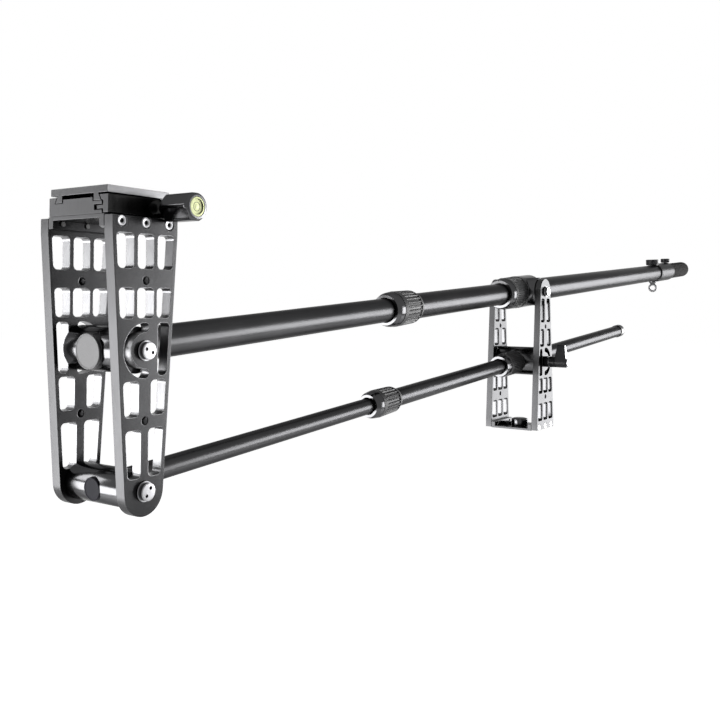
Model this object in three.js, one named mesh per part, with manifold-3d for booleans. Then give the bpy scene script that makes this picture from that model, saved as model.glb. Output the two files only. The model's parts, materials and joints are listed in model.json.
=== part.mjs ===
import * as THREE from 'three';
import { mergeVertices } from 'three/addons/utils/BufferGeometryUtils.js';
import Module from 'manifold-3d';

const wasm = await Module();
wasm.setup();

// Driving dimensions in millimetres: X runs to the tail, Y across and away, Z up.
// The origin is the middle of the tripod face, under the rear bracket.
const pivotSpacing = 108;
const armLength = 814.4;
const restTilt = THREE.MathUtils.degToRad(3.84);
const seatGap = 0.3;
const overrun = 2;

// Side plates: four alike, wide at the channel and round at the far pivot
const plateGap = 66;
const plateThickness = 9.5;
const plateWideHalf = 33;
const plateStraight = 12;
const plateRoundRadius = 19.5;
const plateRim = 3.75;
const slotCorner = 3.6;
const slotCornerShare = 0.45;
const accessoryHoleRadius = 3.3;

// Channels that join the plates, and their screws
const channelReach = 103.7;
const channelProud = 0.9;
const channelHeight = 9.3;
const channelWeb = 3;
const channelLeg = 5.6;
const screwPitch = 23.9;
const screwDrop = 5.1;
const screwRadius = 1.95;
const screwHeadRadius = 4.1;
const screwHeadHeight = 3.2;
const screwSink = 0.3;
const screwTip = 1.1;
const socketRadius = 2.1;
const socketDepth = 1.9;
const screwClearance = 0.35;
const counterboreClearance = 0.6;

// Pivot pins: a stub that stops short of the tube, a washer and a cap with two spanner holes
const pinRadius = 4;
const pinInset = 10.5;
const pinEndRoom = 0.5;
const washerRadius = 8;
const washerThickness = 1.2;
const capRadius = 7;
const capHeight = 3.5;
const capChamfer = 0.5;
const spannerHoleRadius = 1.1;
const spannerHoleOffset = 3.4;
const spannerHoleDepth = 2;
const spannerHoleDepthShare = 0.8;

// Tilt lock lever on the near lower pivot of the rear bracket
const leverHubRadius = 8.25;
const leverHubLength = 16.2;
const leverNeckRadius = 7.5;
const paddleWidth = 19;
const paddleDrop = 8.2;
const paddleRise = 26.6;
const paddleThickness = 9.3;
const paddleFlare = 0.8;
const studCapHeight = 2;

// Tripod boss
const bossRadius = 12.7;
const bossHeight = 10.7;
const bossDome = 2.5;
const bossSpigotRadius = 8;
const tripodThreadRadius = 4.6;
const tripodThreadDepth = 11;
const smallBossRadius = 5.8;
const smallBossHeight = 4;
const smallBossHoleRadius = 2.6;

// Telescopic tubes: each slides in the next one, with a running gap
const boomFrontRadius = 14.3;
const boomMidRadius = 16;
const boomRearRadius = 17.9;
const rodFrontRadius = 9.3;
const rodRearRadius = 11;
const boomFrontWall = 1.2;
const boomMidWall = 1.2;
const boomRearWall = 1.4;
const rodFrontWall = 1;
const rodRearWall = 1.2;

// Where the sections of the boom and the rod end, as distances along the arm
const boomFrontStart = -21;
const rodFrontStart = -15.5;
const boomFrontLockAt = 414.7;
const rodFrontLockAt = 377.5;
const boomRearLockAhead = 76.8;
const rodRearLockAhead = 78.9;
const boomFrontInside = 93.3;
const boomMidInside = 130.4;
const rodFrontInside = 90;
const lockShoulder = 7.5;
const glideFlange = 8;
const glideSpigot = 12;
const glideBoreShare = 0.5;
const glideGap = 0.3;
const plugFlange = 2.5;
const plugSpigot = 10;

// Twist locks: length, thickness over the tube they are on, and outline shares of both
const boomFrontLockLength = 63.7;
const boomRearLockLength = 54.4;
const rodFrontLockLength = 57.5;
const rodRearLockLength = 56.4;
const boomFrontLockWall = 5.6;
const boomRearLockWall = 6.6;
const rodFrontLockWall = 5.5;
const rodRearLockWall = 4.2;
const openLockShares = [
  [0, 0.36], [0.085, 0.73], [0.135, 0.86], [0.298, 1], [0.863, 0.86], [1, 0.32],
];
const closedLockShares = [
  [0, 0.38], [0.11, 0.72], [0.24, 0.88], [0.5, 0.9], [0.53, 1], [1, 1],
];

// Tees: barrels between the plates, with the tube through them
const rearBarrelRadius = 21.6;
const boomFrontBarrelRadius = 18.4;
const rodFrontBarrelRadius = 15.1;
const teeSleeveWall = 6.6;
const teeSleeveAhead = 21.4;
const teeSleeveBehind = 33.6;
const teeSleeveTaper = 16;
const teeSleeveEdge = 0.6;
const rodNoseRadius = 13.5;
const rodTailSleeveRadius = 17;
const rodTailSleeveLength = 38.6;

// Tail of the boom: hanging eye, end sleeve, thumb screw, handle and grip
const boomTailLength = 868.6;
const endSleeveLength = 108;
const endSleeveWall = 2.55;
const eyeBoltBeforeSleeve = 9;
const eyeShankRadius = 3;
const eyeDrop = 33.5;
const eyeOuterRadius = 9.5;
const eyeWireRadius = 1.9;
const eyeFlangeRadius = 8;
const eyeFlangeThickness = 2.5;
const eyeNutHubRadius = 7;
const eyeNutHubHeight = 3.4;
const eyeNutRadius = 13.5;
const eyeNutHeight = 7.4;
const eyeShankSink = 0.6;
const thumbScrewInset = 6;
const thumbScrewShankRadius = 2.3;
const thumbScrewNeck = 1;
const thumbScrewNeckRadius = 4.6;
const thumbScrewHeadRadius = 10;
const thumbScrewHeadHeight = 5.4;
const handleInside = 70;
const gripLength = 149;
const gripWall = 1.6;
const gripEndThickness = 4.5;
const gripRound = 9;
const gripRoundShares = [0.25, 0.5, 0.75, 1];
const gripStandOff = 3.7;

// Tail of the rod
const rodTailLength = 502;
const rodCapLength = 17.5;
const rodCapWall = 0.9;
const rodCapEnd = 2.5;

// Quick release clamp: outline across the arm, measured to the near side and up
const clampHalfLength = 31.3;
const clampFar = 34.2;
const clampNear = 28.1;
const clampBaseHeight = 9.9;
const clampLipHeight = 14.8;
const flankFoot = 27.6;
const flankTop = 24.9;
const clampRibHalf = 17.5;
const clampRibHeight = 3;
const grooveDepth = 8.7;
const grooveFloor = 2.9;
const grooveHeight = 4.3;
const tongueGap = 0.6;
const tongueEndGap = 2.7;
const jawGap = 1.1;
const jawWall = 6.4;
const jawBossRadius = 8;
const jawBossTopRadius = 6.5;
const jawBossHeight = 3;
const jawBossFootShare = 0.5;
const clampScrewRadius = 4;
const clampScrewLength = 9.5;
const clampScrewHeadRadius = 7;
const clampScrewHeadHeight = 3.6;

// Camera plate and its screw
const cameraPlateNear = 34.2;
const cameraPlateFar = 32.4;
const cameraPlateThickness = 5.7;
const cameraPlateLift = 1.1;
const footInnerHalf = 18.5;
const cameraSlotHalfLength = 14;
const cameraScrewRadius = 3.1;
const cameraScrewHeadRadius = 7.5;
const cameraScrewHeadHeight = 2.2;
const cameraScrewSink = 0.6;

// Clamp knob, with a bubble level in its end
const knobAlong = 22.7;
const knobHeight = 7.4;
const knobRadius = 11;
const knobLength = 35.5;
const knobNeckRadius = 5.5;
const knobNeckLength = 3;
const knobShaftRadius = 2.45;
const knobShaftInside = 24;
const knobChamfer = 4;
const knobFlatShare = 0.92;
const levelRadius = 7.5;
const levelDepth = 6;

// Number of facets round a piece
const roundSides = 24;
const ringSides = 16;
const smallSides = 10;
const wireSides = 8;
const hexSides = 6;
const cornerSteps = 2;

// Colours and finishes
const looks = {
  anodised: { color: 0x2b2c2e, roughness: 0.45, metalness: 0.7 },
  paleAnodised: { color: 0x8d8f92, roughness: 0.4, metalness: 0.75 },
  glossBlack: { color: 0x101113, roughness: 0.2, metalness: 0.3 },
  bright: { color: 0xd2d3d4, roughness: 0.2, metalness: 1 },
  rubber: { color: 0x1b1b1c, roughness: 0.85, metalness: 0 },
  foam: { color: 0x3b3b3d, roughness: 0.95, metalness: 0 },
  plastic: { color: 0x232325, roughness: 0.5, metalness: 0 },
  greyPlastic: { color: 0x6c6d70, roughness: 0.5, metalness: 0 },
  level: { color: 0xd9e08a, roughness: 0.1, metalness: 0 },
};

// Values worked out from the driving dimensions
const plateReach = channelReach - channelProud;
const plateInner = plateGap / 2;
const plateOuter = plateInner + plateThickness;
const barrelHalf = plateInner - seatGap;
const pinEnd = plateInner - pinInset;
const screwLevel = channelReach - screwDrop;
const boomSleeveStart = armLength + boomTailLength - endSleeveLength;
const boomRearEnd = armLength + boomTailLength;

function pointsGeometry(geometry) {
  const bare = geometry.clone();
  bare.deleteAttribute('normal');
  bare.deleteAttribute('uv');
  return mergeVertices(bare);
}

function solidOf(geometry) {
  const merged = pointsGeometry(geometry);
  const corners = merged.index.array;
  const kept = [];
  for (let i = 0; i < corners.length; i += 3) {
    const [a, b, c] = corners.subarray(i, i + 3);
    if (a !== b && b !== c && c !== a) kept.push(a, b, c);
  }
  const vertProperties = new Float32Array(merged.attributes.position.array);
  const mesh = new wasm.Mesh({ numProp: 3, vertProperties, triVerts: new Uint32Array(kept) });
  return new wasm.Manifold(mesh);
}

function join(first, ...others) {
  return others.reduce((sum, other) => sum.add(other), first);
}

function cut(first, ...tools) {
  return tools.reduce((rest, tool) => rest.subtract(tool), first);
}

function addPiece(parent, name, solid, look) {
  const { vertProperties, triVerts } = solid.getMesh();
  const geometry = new THREE.BufferGeometry();
  geometry.setAttribute('position', new THREE.BufferAttribute(vertProperties, 3));
  geometry.setIndex(new THREE.BufferAttribute(triVerts, 1));
  geometry.computeVertexNormals();
  const mesh = new THREE.Mesh(geometry, new THREE.MeshStandardMaterial(look));
  mesh.name = name;
  parent.add(mesh);
  return mesh;
}

// Turns that bring a shape's own Y axis onto the named axis
const axisTurns = {
  X: (geometry) => geometry.rotateZ(-Math.PI / 2),
  Y: (geometry) => geometry,
  Z: (geometry) => geometry.rotateX(Math.PI / 2),
};

function bar(axis, radius, from, to, sides = roundSides) {
  const geometry = new THREE.CylinderGeometry(radius, radius, to - from, sides);
  return solidOf(axisTurns[axis](geometry.translate(0, (from + to) / 2, 0)));
}

function barAt(x, y, z, axis, radius, from, to, sides = smallSides) {
  const geometry = new THREE.CylinderGeometry(radius, radius, to - from, sides);
  return solidOf(axisTurns[axis](geometry.translate(0, (from + to) / 2, 0)).translate(x, y, z));
}

// A solid of revolution: its outline is a list of [distance along the axis, radius]
function turned(axis, outline, sides = roundSides) {
  const profile = outline.map(([along, radius]) => new THREE.Vector2(radius, along));
  return solidOf(axisTurns[axis](new THREE.LatheGeometry(profile, sides)));
}

function hollowTurned(axis, outer, inner, sides = roundSides) {
  return turned(axis, [...outer, ...inner, outer[0]], sides);
}

function tube(radius, bore, from, to) {
  return hollowTurned('X', [[from, radius], [to, radius]], [[to, bore], [from, bore]]);
}

function block(low, high) {
  const size = high.clone().sub(low);
  const middle = high.clone().add(low).multiplyScalar(0.5);
  const geometry = new THREE.BoxGeometry(size.x, size.y, size.z);
  return solidOf(geometry.translate(middle.x, middle.y, middle.z));
}

// An outline given as [towards the near side, up] and drawn out along X
function drawnAlong(outline, halfLength) {
  const shape = new THREE.Shape(outline.map(([near, up]) => new THREE.Vector2(-near, up)));
  const geometry = new THREE.ExtrudeGeometry(shape, { depth: 2 * halfLength, bevelEnabled: false });
  const toAlong = new THREE.Matrix4().makeBasis(
    new THREE.Vector3(0, 1, 0), new THREE.Vector3(0, 0, 1), new THREE.Vector3(1, 0, 0),
  );
  return solidOf(geometry.translate(0, 0, -halfLength).applyMatrix4(toAlong));
}

// Side plate outline: a point where the straight taper meets the round end
function plateTaper() {
  const corner = new THREE.Vector2(plateWideHalf, plateReach - plateStraight);
  const centre = new THREE.Vector2(0, -pivotSpacing);
  const toCorner = corner.clone().sub(centre);
  const spread = Math.acos(plateRoundRadius / toCorner.length());
  const angle = toCorner.angle() - spread;
  const touch = new THREE.Vector2(Math.cos(angle), Math.sin(angle));
  return { corner, angle, touch: touch.multiplyScalar(plateRoundRadius).add(centre) };
}

function plateEdgeAt(height) {
  const { corner, touch } = plateTaper();
  const share = (height - touch.y) / (corner.y - touch.y);
  return Math.min(plateWideHalf, touch.x + (corner.x - touch.x) * share);
}

function roundedHole(points, radius) {
  const path = new THREE.Path();
  const count = points.length;
  points.forEach(([x, z], i) => {
    const here = new THREE.Vector2(x, z);
    const before = new THREE.Vector2(...points[(i + count - 1) % count]).sub(here);
    const after = new THREE.Vector2(...points[(i + 1) % count]).sub(here);
    const shorter = Math.min(before.length(), after.length());
    const reach = Math.min(radius, shorter * slotCornerShare);
    const start = here.clone().add(before.setLength(reach));
    const end = here.clone().add(after.setLength(reach));
    if (i === 0) path.moveTo(start.x, start.y);
    else path.lineTo(start.x, start.y);
    path.quadraticCurveTo(here.x, here.y, end.x, end.y);
  });
  path.closePath();
  return path;
}

// Slot rows as [lowest, highest] shares of the plate's reach above the middle pivot, or of
// the pivot spacing below it, then the inner side of the outer slots and the half width of
// the middle slot as shares of the plate's half width
const slotRowShares = [
  [0.613, 0.872, 0.367, 0.244],
  [0.242, 0.468, 0.351, 0.252],
  [-0.465, -0.215, 0.185, 0],
  [-0.9, -0.56, 0.115, 0],
];
const accessoryShares = [0.525, -0.5];
const arcSlotShares = [0.138, 0.207];
const sideSlotShares = [0.124, -0.194, 0.205];

function plateLevel(share) {
  return share * (share > 0 ? plateReach : pivotSpacing);
}

function plateHoles() {
  const holes = [];
  for (const [lowShare, highShare, innerShare, middleShare] of slotRowShares) {
    const low = plateLevel(lowShare);
    const high = plateLevel(highShare);
    const inner = innerShare * plateWideHalf;
    const middle = middleShare * plateWideHalf;
    for (const side of [-1, 1]) {
      const lowEdge = plateEdgeAt(low) - plateRim;
      const highEdge = plateEdgeAt(high) - plateRim;
      const corners = [[inner, low], [lowEdge, low], [highEdge, high], [inner, high]];
      holes.push(roundedHole(corners.map(([x, z]) => [side * x, z]), slotCorner));
    }
    if (middle > 0) {
      const corners = [[-middle, low], [middle, low], [middle, high], [-middle, high]];
      holes.push(roundedHole(corners, slotCorner));
    }
  }
  const slotReach = Math.min(plateReach, pivotSpacing);
  const [arcInner, arcOuter] = arcSlotShares.map((share) => share * slotReach);
  const arcMiddle = (arcInner + arcOuter) / 2;
  const arcEnd = (arcOuter - arcInner) / 2;
  const arc = new THREE.Path();
  arc.absarc(0, 0, arcOuter, Math.PI / 2, Math.PI, false);
  arc.absarc(0, 0, arcOuter, Math.PI, 1.5 * Math.PI, false);
  arc.absarc(0, -arcMiddle, arcEnd, -Math.PI / 2, Math.PI / 2, false);
  arc.absarc(0, 0, arcInner, 1.5 * Math.PI, Math.PI, true);
  arc.absarc(0, 0, arcInner, Math.PI, Math.PI / 2, true);
  arc.absarc(0, arcMiddle, arcEnd, -Math.PI / 2, Math.PI / 2, false);
  holes.push(arc);
  const [sideInner, sideLow, sideHigh] = sideSlotShares.map((share) => share * slotReach);
  const sideCorners = [
    [sideInner, sideLow],
    [plateEdgeAt(sideLow) - plateRim, sideLow],
    [plateEdgeAt(sideHigh) - plateRim, sideHigh],
    [sideInner, sideHigh],
  ];
  holes.push(roundedHole(sideCorners, slotCorner));
  return holes;
}

function screwPlaces() {
  return [-screwPitch, 0, screwPitch];
}

// Near side plate, seen from the near side, with its middle pivot at the origin
function plateSolid() {
  const { corner, angle, touch } = plateTaper();
  const shape = new THREE.Shape();
  shape.moveTo(-corner.x, plateReach);
  shape.lineTo(-corner.x, corner.y);
  shape.lineTo(-touch.x, touch.y);
  shape.absarc(0, -pivotSpacing, plateRoundRadius, Math.PI - angle, 1.5 * Math.PI, false);
  shape.absarc(0, -pivotSpacing, plateRoundRadius, -Math.PI / 2, angle, false);
  shape.lineTo(corner.x, corner.y);
  shape.lineTo(corner.x, plateReach);
  shape.closePath();
  shape.holes.push(...plateHoles());
  const extrusion = { depth: plateThickness, bevelEnabled: false, curveSegments: cornerSteps };
  const geometry = new THREE.ExtrudeGeometry(shape, extrusion);
  const plate = solidOf(geometry.rotateX(Math.PI / 2).translate(0, -plateInner, 0));
  const through = [-plateOuter - overrun, -plateInner + overrun];
  const tools = [];
  for (const z of [0, -pivotSpacing]) {
    tools.push(barAt(0, 0, z, 'Y', pinRadius + seatGap, ...through, ringSides));
  }
  for (const share of accessoryShares) {
    tools.push(barAt(0, 0, plateLevel(share), 'Y', accessoryHoleRadius, ...through));
  }
  const counterboreRadius = screwHeadRadius + counterboreClearance;
  const counterboreFloor = -plateOuter + screwHeadHeight + screwSink + seatGap;
  for (const x of screwPlaces()) {
    tools.push(barAt(x, 0, screwLevel, 'Y', screwRadius + screwClearance, ...through));
    tools.push(
      barAt(x, 0, screwLevel, 'Y', counterboreRadius, -plateOuter - overrun, counterboreFloor),
    );
  }
  return cut(plate, ...tools);
}

// Channel with its web up, and a hole in the web
function channelSolid(webHoleRadius) {
  const half = plateWideHalf;
  const webLow = channelReach - channelWeb;
  const low = channelReach - channelHeight;
  const vector = (x, y, z) => new THREE.Vector3(x, y, z);
  const body = join(
    block(vector(-half, -barrelHalf, webLow), vector(half, barrelHalf, channelReach)),
    block(vector(-half, -barrelHalf, low), vector(half, -barrelHalf + channelLeg, channelReach)),
    block(vector(-half, barrelHalf - channelLeg, low), vector(half, barrelHalf, channelReach)),
  );
  const tools = screwPlaces().map((x) => (
    barAt(x, 0, screwLevel, 'Y', screwRadius + screwClearance,
      -barrelHalf - overrun, barrelHalf + overrun)
  ));
  tools.push(bar('Z', webHoleRadius, webLow - overrun, channelReach + overrun));
  return cut(body, ...tools);
}

// Socket screw of the far plate, pointing to the middle
function screwSolid() {
  const top = plateOuter - screwSink;
  const seat = top - screwHeadHeight;
  const tip = barrelHalf - channelLeg - screwTip;
  const body = turned('Y', [
    [tip, 0], [tip, screwRadius], [seat, screwRadius], [seat, screwHeadRadius],
    [top, screwHeadRadius], [top, 0],
  ], smallSides);
  return cut(body, bar('Y', socketRadius, top - socketDepth, top + overrun, hexSides));
}

// Pivot pin of the far plate, pointing to the middle; a longer one carries the lock lever
function pinSolid(shankTo, hasWasher, headHeight) {
  const capFrom = shankTo + (hasWasher ? washerThickness : 0);
  const top = capFrom + headHeight;
  const outline = [[pinEnd, 0], [pinEnd, pinRadius], [shankTo, pinRadius]];
  if (hasWasher) outline.push([shankTo, washerRadius], [capFrom, washerRadius]);
  outline.push([capFrom, capRadius], [top - capChamfer, capRadius]);
  outline.push([top, capRadius - capChamfer], [top, 0]);
  const holes = [-1, 1].map((side) => (
    barAt(side * spannerHoleOffset, 0, 0, 'Y', spannerHoleRadius,
      top - Math.min(spannerHoleDepth, headHeight * spannerHoleDepthShare), top + overrun, hexSides)
  ));
  return cut(turned('Y', outline, ringSides), ...holes);
}

// Both brackets are built alike about their middle pivot, with the channel on top
function addBracket(parent, prefix, channel, channelName, look) {
  const plate = plateSolid();
  addPiece(parent, `${prefix}_plate_near`, plate, look);
  addPiece(parent, `${prefix}_plate_far`, plate, look).rotation.z = Math.PI;
  addPiece(parent, channelName, channel, look);
  const screw = screwSolid();
  screwPlaces().forEach((x, i) => {
    const far = addPiece(parent, `${prefix}_screw_far_${i + 1}`, screw, looks.bright);
    far.position.set(x, 0, screwLevel);
    const near = addPiece(parent, `${prefix}_screw_near_${i + 1}`, screw, looks.bright);
    near.position.set(x, 0, screwLevel);
    near.rotation.z = Math.PI;
  });
}

function addPin(parent, name, z, isNear, solid) {
  const pin = addPiece(parent, name, solid, looks.bright);
  pin.position.z = z;
  if (isNear) pin.rotation.z = Math.PI;
}

function leverSolid() {
  const inner = plateOuter + seatGap;
  const hubEnd = plateOuter + leverHubLength;
  const end = hubEnd + paddleWidth;
  const hub = turned('Y', [
    [inner, 0], [inner, leverHubRadius], [hubEnd, leverHubRadius],
    [hubEnd, leverNeckRadius], [end, leverNeckRadius], [end, 0],
  ]);
  const thin = paddleThickness / 2;
  const wide = thin + paddleFlare;
  const outline = new THREE.Shape([
    new THREE.Vector2(-thin, hubEnd), new THREE.Vector2(thin, hubEnd),
    new THREE.Vector2(wide, end), new THREE.Vector2(-wide, end),
  ]);
  const extrusion = { depth: paddleDrop + paddleRise, bevelEnabled: false };
  const drawn = new THREE.ExtrudeGeometry(outline, extrusion);
  const paddle = solidOf(drawn.translate(0, 0, -paddleDrop));
  const bore = bar('Y', pinRadius + seatGap, inner - overrun, end + overrun, ringSides);
  return cut(join(hub, paddle), bore);
}

// Tripod boss, with its spigot down through the channel's web
function bossSolid() {
  const seat = channelWeb + seatGap;
  const top = seat + bossHeight;
  const body = turned('Z', [
    [0, 0], [0, bossSpigotRadius], [seat, bossSpigotRadius], [seat, bossRadius],
    [top - bossDome, bossRadius], [top, bossRadius - bossDome], [top, 0],
  ]);
  return cut(body, bar('Z', tripodThreadRadius, -overrun, tripodThreadDepth, smallSides));
}

// A tee: a barrel across the arm, optional sleeves along it, and the tube's bore
function teeSolid(barrelRadius, boreRadius, ...sleeves) {
  const body = join(bar('Y', barrelRadius, -barrelHalf, barrelHalf), ...sleeves);
  const reach = armLength;
  const stub = pinRadius + seatGap;
  return cut(
    body,
    bar('X', boreRadius, -reach, reach),
    bar('Y', stub, pinEnd - pinEndRoom, barrelHalf + overrun, ringSides),
    bar('Y', stub, -barrelHalf - overrun, -pinEnd + pinEndRoom, ringSides),
  );
}

// A twist lock on a host tube, closing on the thinner tube that comes out of it
function lockSolid(at, length, hostRadius, wall, innerRadius, shares) {
  const outer = shares.map(([along, out]) => [at + along * length, hostRadius + out * wall]);
  const shoulder = at + lockShoulder - seatGap;
  const hostBore = hostRadius + seatGap;
  const innerBore = innerRadius + seatGap;
  const inner = [
    [at + length, hostBore], [shoulder, hostBore], [shoulder, innerBore], [at, innerBore],
  ];
  return hollowTurned('X', outer, inner);
}

// A glide in the inner end of a sliding tube: a spigot in it and a flange against the host
function glideSolid(end, tubeBore, hostBore) {
  const spigot = tubeBore - seatGap;
  const hole = spigot * glideBoreShare;
  const flange = hostBore - glideGap;
  return hollowTurned('X', [
    [end - glideSpigot, spigot], [end + seatGap, spigot], [end + seatGap, flange],
    [end + glideFlange, flange],
  ], [[end + glideFlange, hole], [end - glideSpigot, hole]], ringSides);
}

function plugSolid(at, tubeRadius, tubeBore) {
  const shoulder = at + plugFlange;
  const spigot = tubeBore - seatGap;
  return turned('X', [
    [at, 0], [at, tubeRadius], [shoulder, tubeRadius], [shoulder, spigot],
    [shoulder + plugSpigot, spigot], [shoulder + plugSpigot, 0],
  ]);
}

const crane = new THREE.Group();

// Rear bracket, on the tripod, upside down about its lower pivot
const rearBracket = new THREE.Group();
rearBracket.position.z = channelReach;
rearBracket.rotation.y = Math.PI;
crane.add(rearBracket);
const smallBossAt = (barrelHalf - channelLeg + bossRadius + seatGap) / 2;
const smallBossTop = channelReach - channelWeb - smallBossHeight;
const smallBossCut = [smallBossTop - overrun, channelReach + overrun];
const baseChannel = cut(
  join(
    channelSolid(bossSpigotRadius + seatGap),
    barAt(0, smallBossAt, 0, 'Z', smallBossRadius, smallBossTop, channelReach, ringSides),
  ),
  barAt(0, smallBossAt, 0, 'Z', smallBossHoleRadius, ...smallBossCut),
);
addBracket(rearBracket, 'rear', baseChannel, 'base_channel', looks.paleAnodised);
const pin = pinSolid(plateOuter + seatGap, true, capHeight);
const leverEnd = plateOuter + leverHubLength + paddleWidth;
const lockStud = pinSolid(leverEnd + seatGap, false, studCapHeight);
addPin(rearBracket, 'rear_upper_pin_near', -pivotSpacing, true, pin);
addPin(rearBracket, 'rear_upper_pin_far', -pivotSpacing, false, pin);
addPin(rearBracket, 'rear_lower_pin_far', 0, false, pin);
addPin(rearBracket, 'tilt_lock_stud', 0, true, lockStud);
const lever = addPiece(crane, 'tilt_lock_lever', leverSolid(), looks.plastic);
lever.position.z = channelReach;
lever.rotation.z = Math.PI;
addPiece(crane, 'tripod_boss', bossSolid(), looks.bright);

// The upper arm and the lower arm: X runs along the arm from the front pivot
const frontPivotX = -armLength * Math.cos(restTilt);
const frontPivotZ = channelReach + pivotSpacing - armLength * Math.sin(restTilt);

function armGroup(z) {
  const group = new THREE.Group();
  group.position.set(frontPivotX, 0, z);
  group.rotation.y = -restTilt;
  crane.add(group);
  return group;
}

function pivotGroup(arm, along) {
  const group = new THREE.Group();
  group.position.x = along;
  arm.add(group);
  return group;
}

const boom = armGroup(frontPivotZ);
const rod = armGroup(frontPivotZ - pivotSpacing);

const boomFrontBore = boomFrontRadius - boomFrontWall;
const boomMidBore = boomMidRadius - boomMidWall;
const boomRearBore = boomRearRadius - boomRearWall;
const rodFrontBore = rodFrontRadius - rodFrontWall;
const rodRearBore = rodRearRadius - rodRearWall;

// Front section of the boom
const boomFrontEnd = boomFrontLockAt + boomFrontInside;
const boomFrontTube = boomFrontStart + plugFlange + seatGap;
addPiece(
  boom, 'boom_tube_front',
  tube(boomFrontRadius, boomFrontBore, boomFrontTube, boomFrontEnd), looks.glossBlack,
);
addPiece(
  boom, 'boom_end_plug', plugSolid(boomFrontStart, boomFrontRadius, boomFrontBore),
  looks.greyPlastic,
);
addPiece(
  boom, 'boom_front_tee', teeSolid(boomFrontBarrelRadius, boomFrontRadius + seatGap),
  looks.glossBlack,
);
addPiece(
  boom, 'boom_front_glide', glideSolid(boomFrontEnd, boomFrontBore, boomMidBore), looks.plastic,
);

// Middle section of the boom
const boomMidStart = boomFrontLockAt + lockShoulder;
const boomRearLockAt = armLength - boomRearLockAhead;
const boomMidEnd = boomRearLockAt + boomMidInside;
addPiece(
  boom, 'boom_tube_middle', tube(boomMidRadius, boomMidBore, boomMidStart, boomMidEnd),
  looks.glossBlack,
);
addPiece(
  boom, 'boom_lock_front',
  lockSolid(
    boomFrontLockAt, boomFrontLockLength, boomMidRadius, boomFrontLockWall, boomFrontRadius,
    openLockShares,
  ),
  looks.rubber,
);
addPiece(
  boom, 'boom_middle_glide', glideSolid(boomMidEnd, boomMidBore, boomRearBore), looks.plastic,
);

// Rear section of the boom, which turns on the rear bracket
const eyeBoltAt = boomSleeveStart - eyeBoltBeforeSleeve;
const thumbScrewAt = boomRearEnd - thumbScrewInset;
const eyeHoleRadius = eyeShankRadius + seatGap;
const thumbHoleRadius = thumbScrewShankRadius + seatGap;
const sleeveRadius = boomRearRadius + seatGap + endSleeveWall;
const upToTop = [0, sleeveRadius + overrun];
const rearTube = cut(
  tube(boomRearRadius, boomRearBore, boomRearLockAt + lockShoulder, boomRearEnd),
  barAt(eyeBoltAt, 0, 0, 'Z', eyeHoleRadius, -sleeveRadius, sleeveRadius),
  barAt(thumbScrewAt, 0, 0, 'Z', thumbHoleRadius, ...upToTop),
);
addPiece(boom, 'boom_tube_rear', rearTube, looks.glossBlack);
addPiece(
  boom, 'boom_lock_rear',
  lockSolid(
    boomRearLockAt, boomRearLockLength, boomRearRadius, boomRearLockWall, boomMidRadius,
    closedLockShares,
  ),
  looks.rubber,
);
const teeSleeveRadius = boomRearRadius + seatGap + teeSleeveWall;
const teeSleeveEnd = boomRearRadius + seatGap + teeSleeveEdge;
const boomSleeve = turned('X', [
  [-teeSleeveAhead, 0], [-teeSleeveAhead, teeSleeveRadius], [teeSleeveBehind, teeSleeveRadius],
  [teeSleeveBehind + teeSleeveTaper, teeSleeveEnd], [teeSleeveBehind + teeSleeveTaper, 0],
]);
addPiece(
  pivotGroup(boom, armLength), 'boom_rear_tee',
  teeSolid(rearBarrelRadius, boomRearRadius + seatGap, boomSleeve), looks.glossBlack,
);

// Hanging eye and its thumb nut
const eyeCentre = new THREE.Group();
eyeCentre.position.x = eyeBoltAt;
boom.add(eyeCentre);
const nutSeat = boomRearRadius + seatGap;
const nutTop = nutSeat + eyeNutHubHeight + eyeNutHeight;
const eyeRingRadius = eyeOuterRadius - eyeWireRadius;
const eyeRing = new THREE.TorusGeometry(eyeRingRadius, eyeWireRadius, wireSides, ringSides);
const ringTop = eyeRingRadius - eyeDrop;
const flangeLow = -nutSeat - eyeFlangeThickness;
const eyeShankTop = nutTop - eyeShankSink;
const eyeShank = turned('Z', [
  [ringTop, 0], [ringTop, eyeShankRadius], [flangeLow, eyeShankRadius],
  [flangeLow, eyeFlangeRadius], [-nutSeat, eyeFlangeRadius], [-nutSeat, eyeShankRadius],
  [eyeShankTop, eyeShankRadius], [eyeShankTop, 0],
], ringSides);
const eyeBolt = join(
  eyeShank,
  solidOf(eyeRing.rotateY(Math.PI / 2).translate(0, 0, -eyeDrop)),
);
addPiece(eyeCentre, 'hanging_eye_bolt', eyeBolt, looks.bright);
const nutWaist = nutSeat + eyeNutHubHeight;
const eyeNut = hollowTurned('Z', [
  [nutSeat, eyeNutHubRadius], [nutWaist, eyeNutHubRadius], [nutWaist, eyeNutRadius],
  [nutTop, eyeNutRadius],
], [[nutTop, eyeHoleRadius], [nutSeat, eyeHoleRadius]], ringSides);
addPiece(eyeCentre, 'hanging_eye_nut', eyeNut, looks.bright);

// End sleeve, thumb screw, handle and grip
const endSleeve = cut(
  tube(sleeveRadius, boomRearRadius + seatGap, boomSleeveStart, boomRearEnd),
  barAt(thumbScrewAt, 0, 0, 'Z', thumbHoleRadius, ...upToTop),
);
addPiece(boom, 'end_sleeve', endSleeve, looks.glossBlack);
const handleRadius = boomRearBore - seatGap;
const thumbSeat = sleeveRadius + seatGap;
const thumbWaist = thumbSeat + thumbScrewNeck;
const thumbTop = thumbWaist + thumbScrewHeadHeight;
const thumbTip = handleRadius + seatGap;
const thumbScrew = turned('Z', [
  [thumbTip, 0], [thumbTip, thumbScrewShankRadius], [thumbSeat, thumbScrewShankRadius],
  [thumbSeat, thumbScrewNeckRadius], [thumbWaist, thumbScrewNeckRadius],
  [thumbWaist, thumbScrewHeadRadius], [thumbTop, thumbScrewHeadRadius], [thumbTop, 0],
], ringSides);
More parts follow.
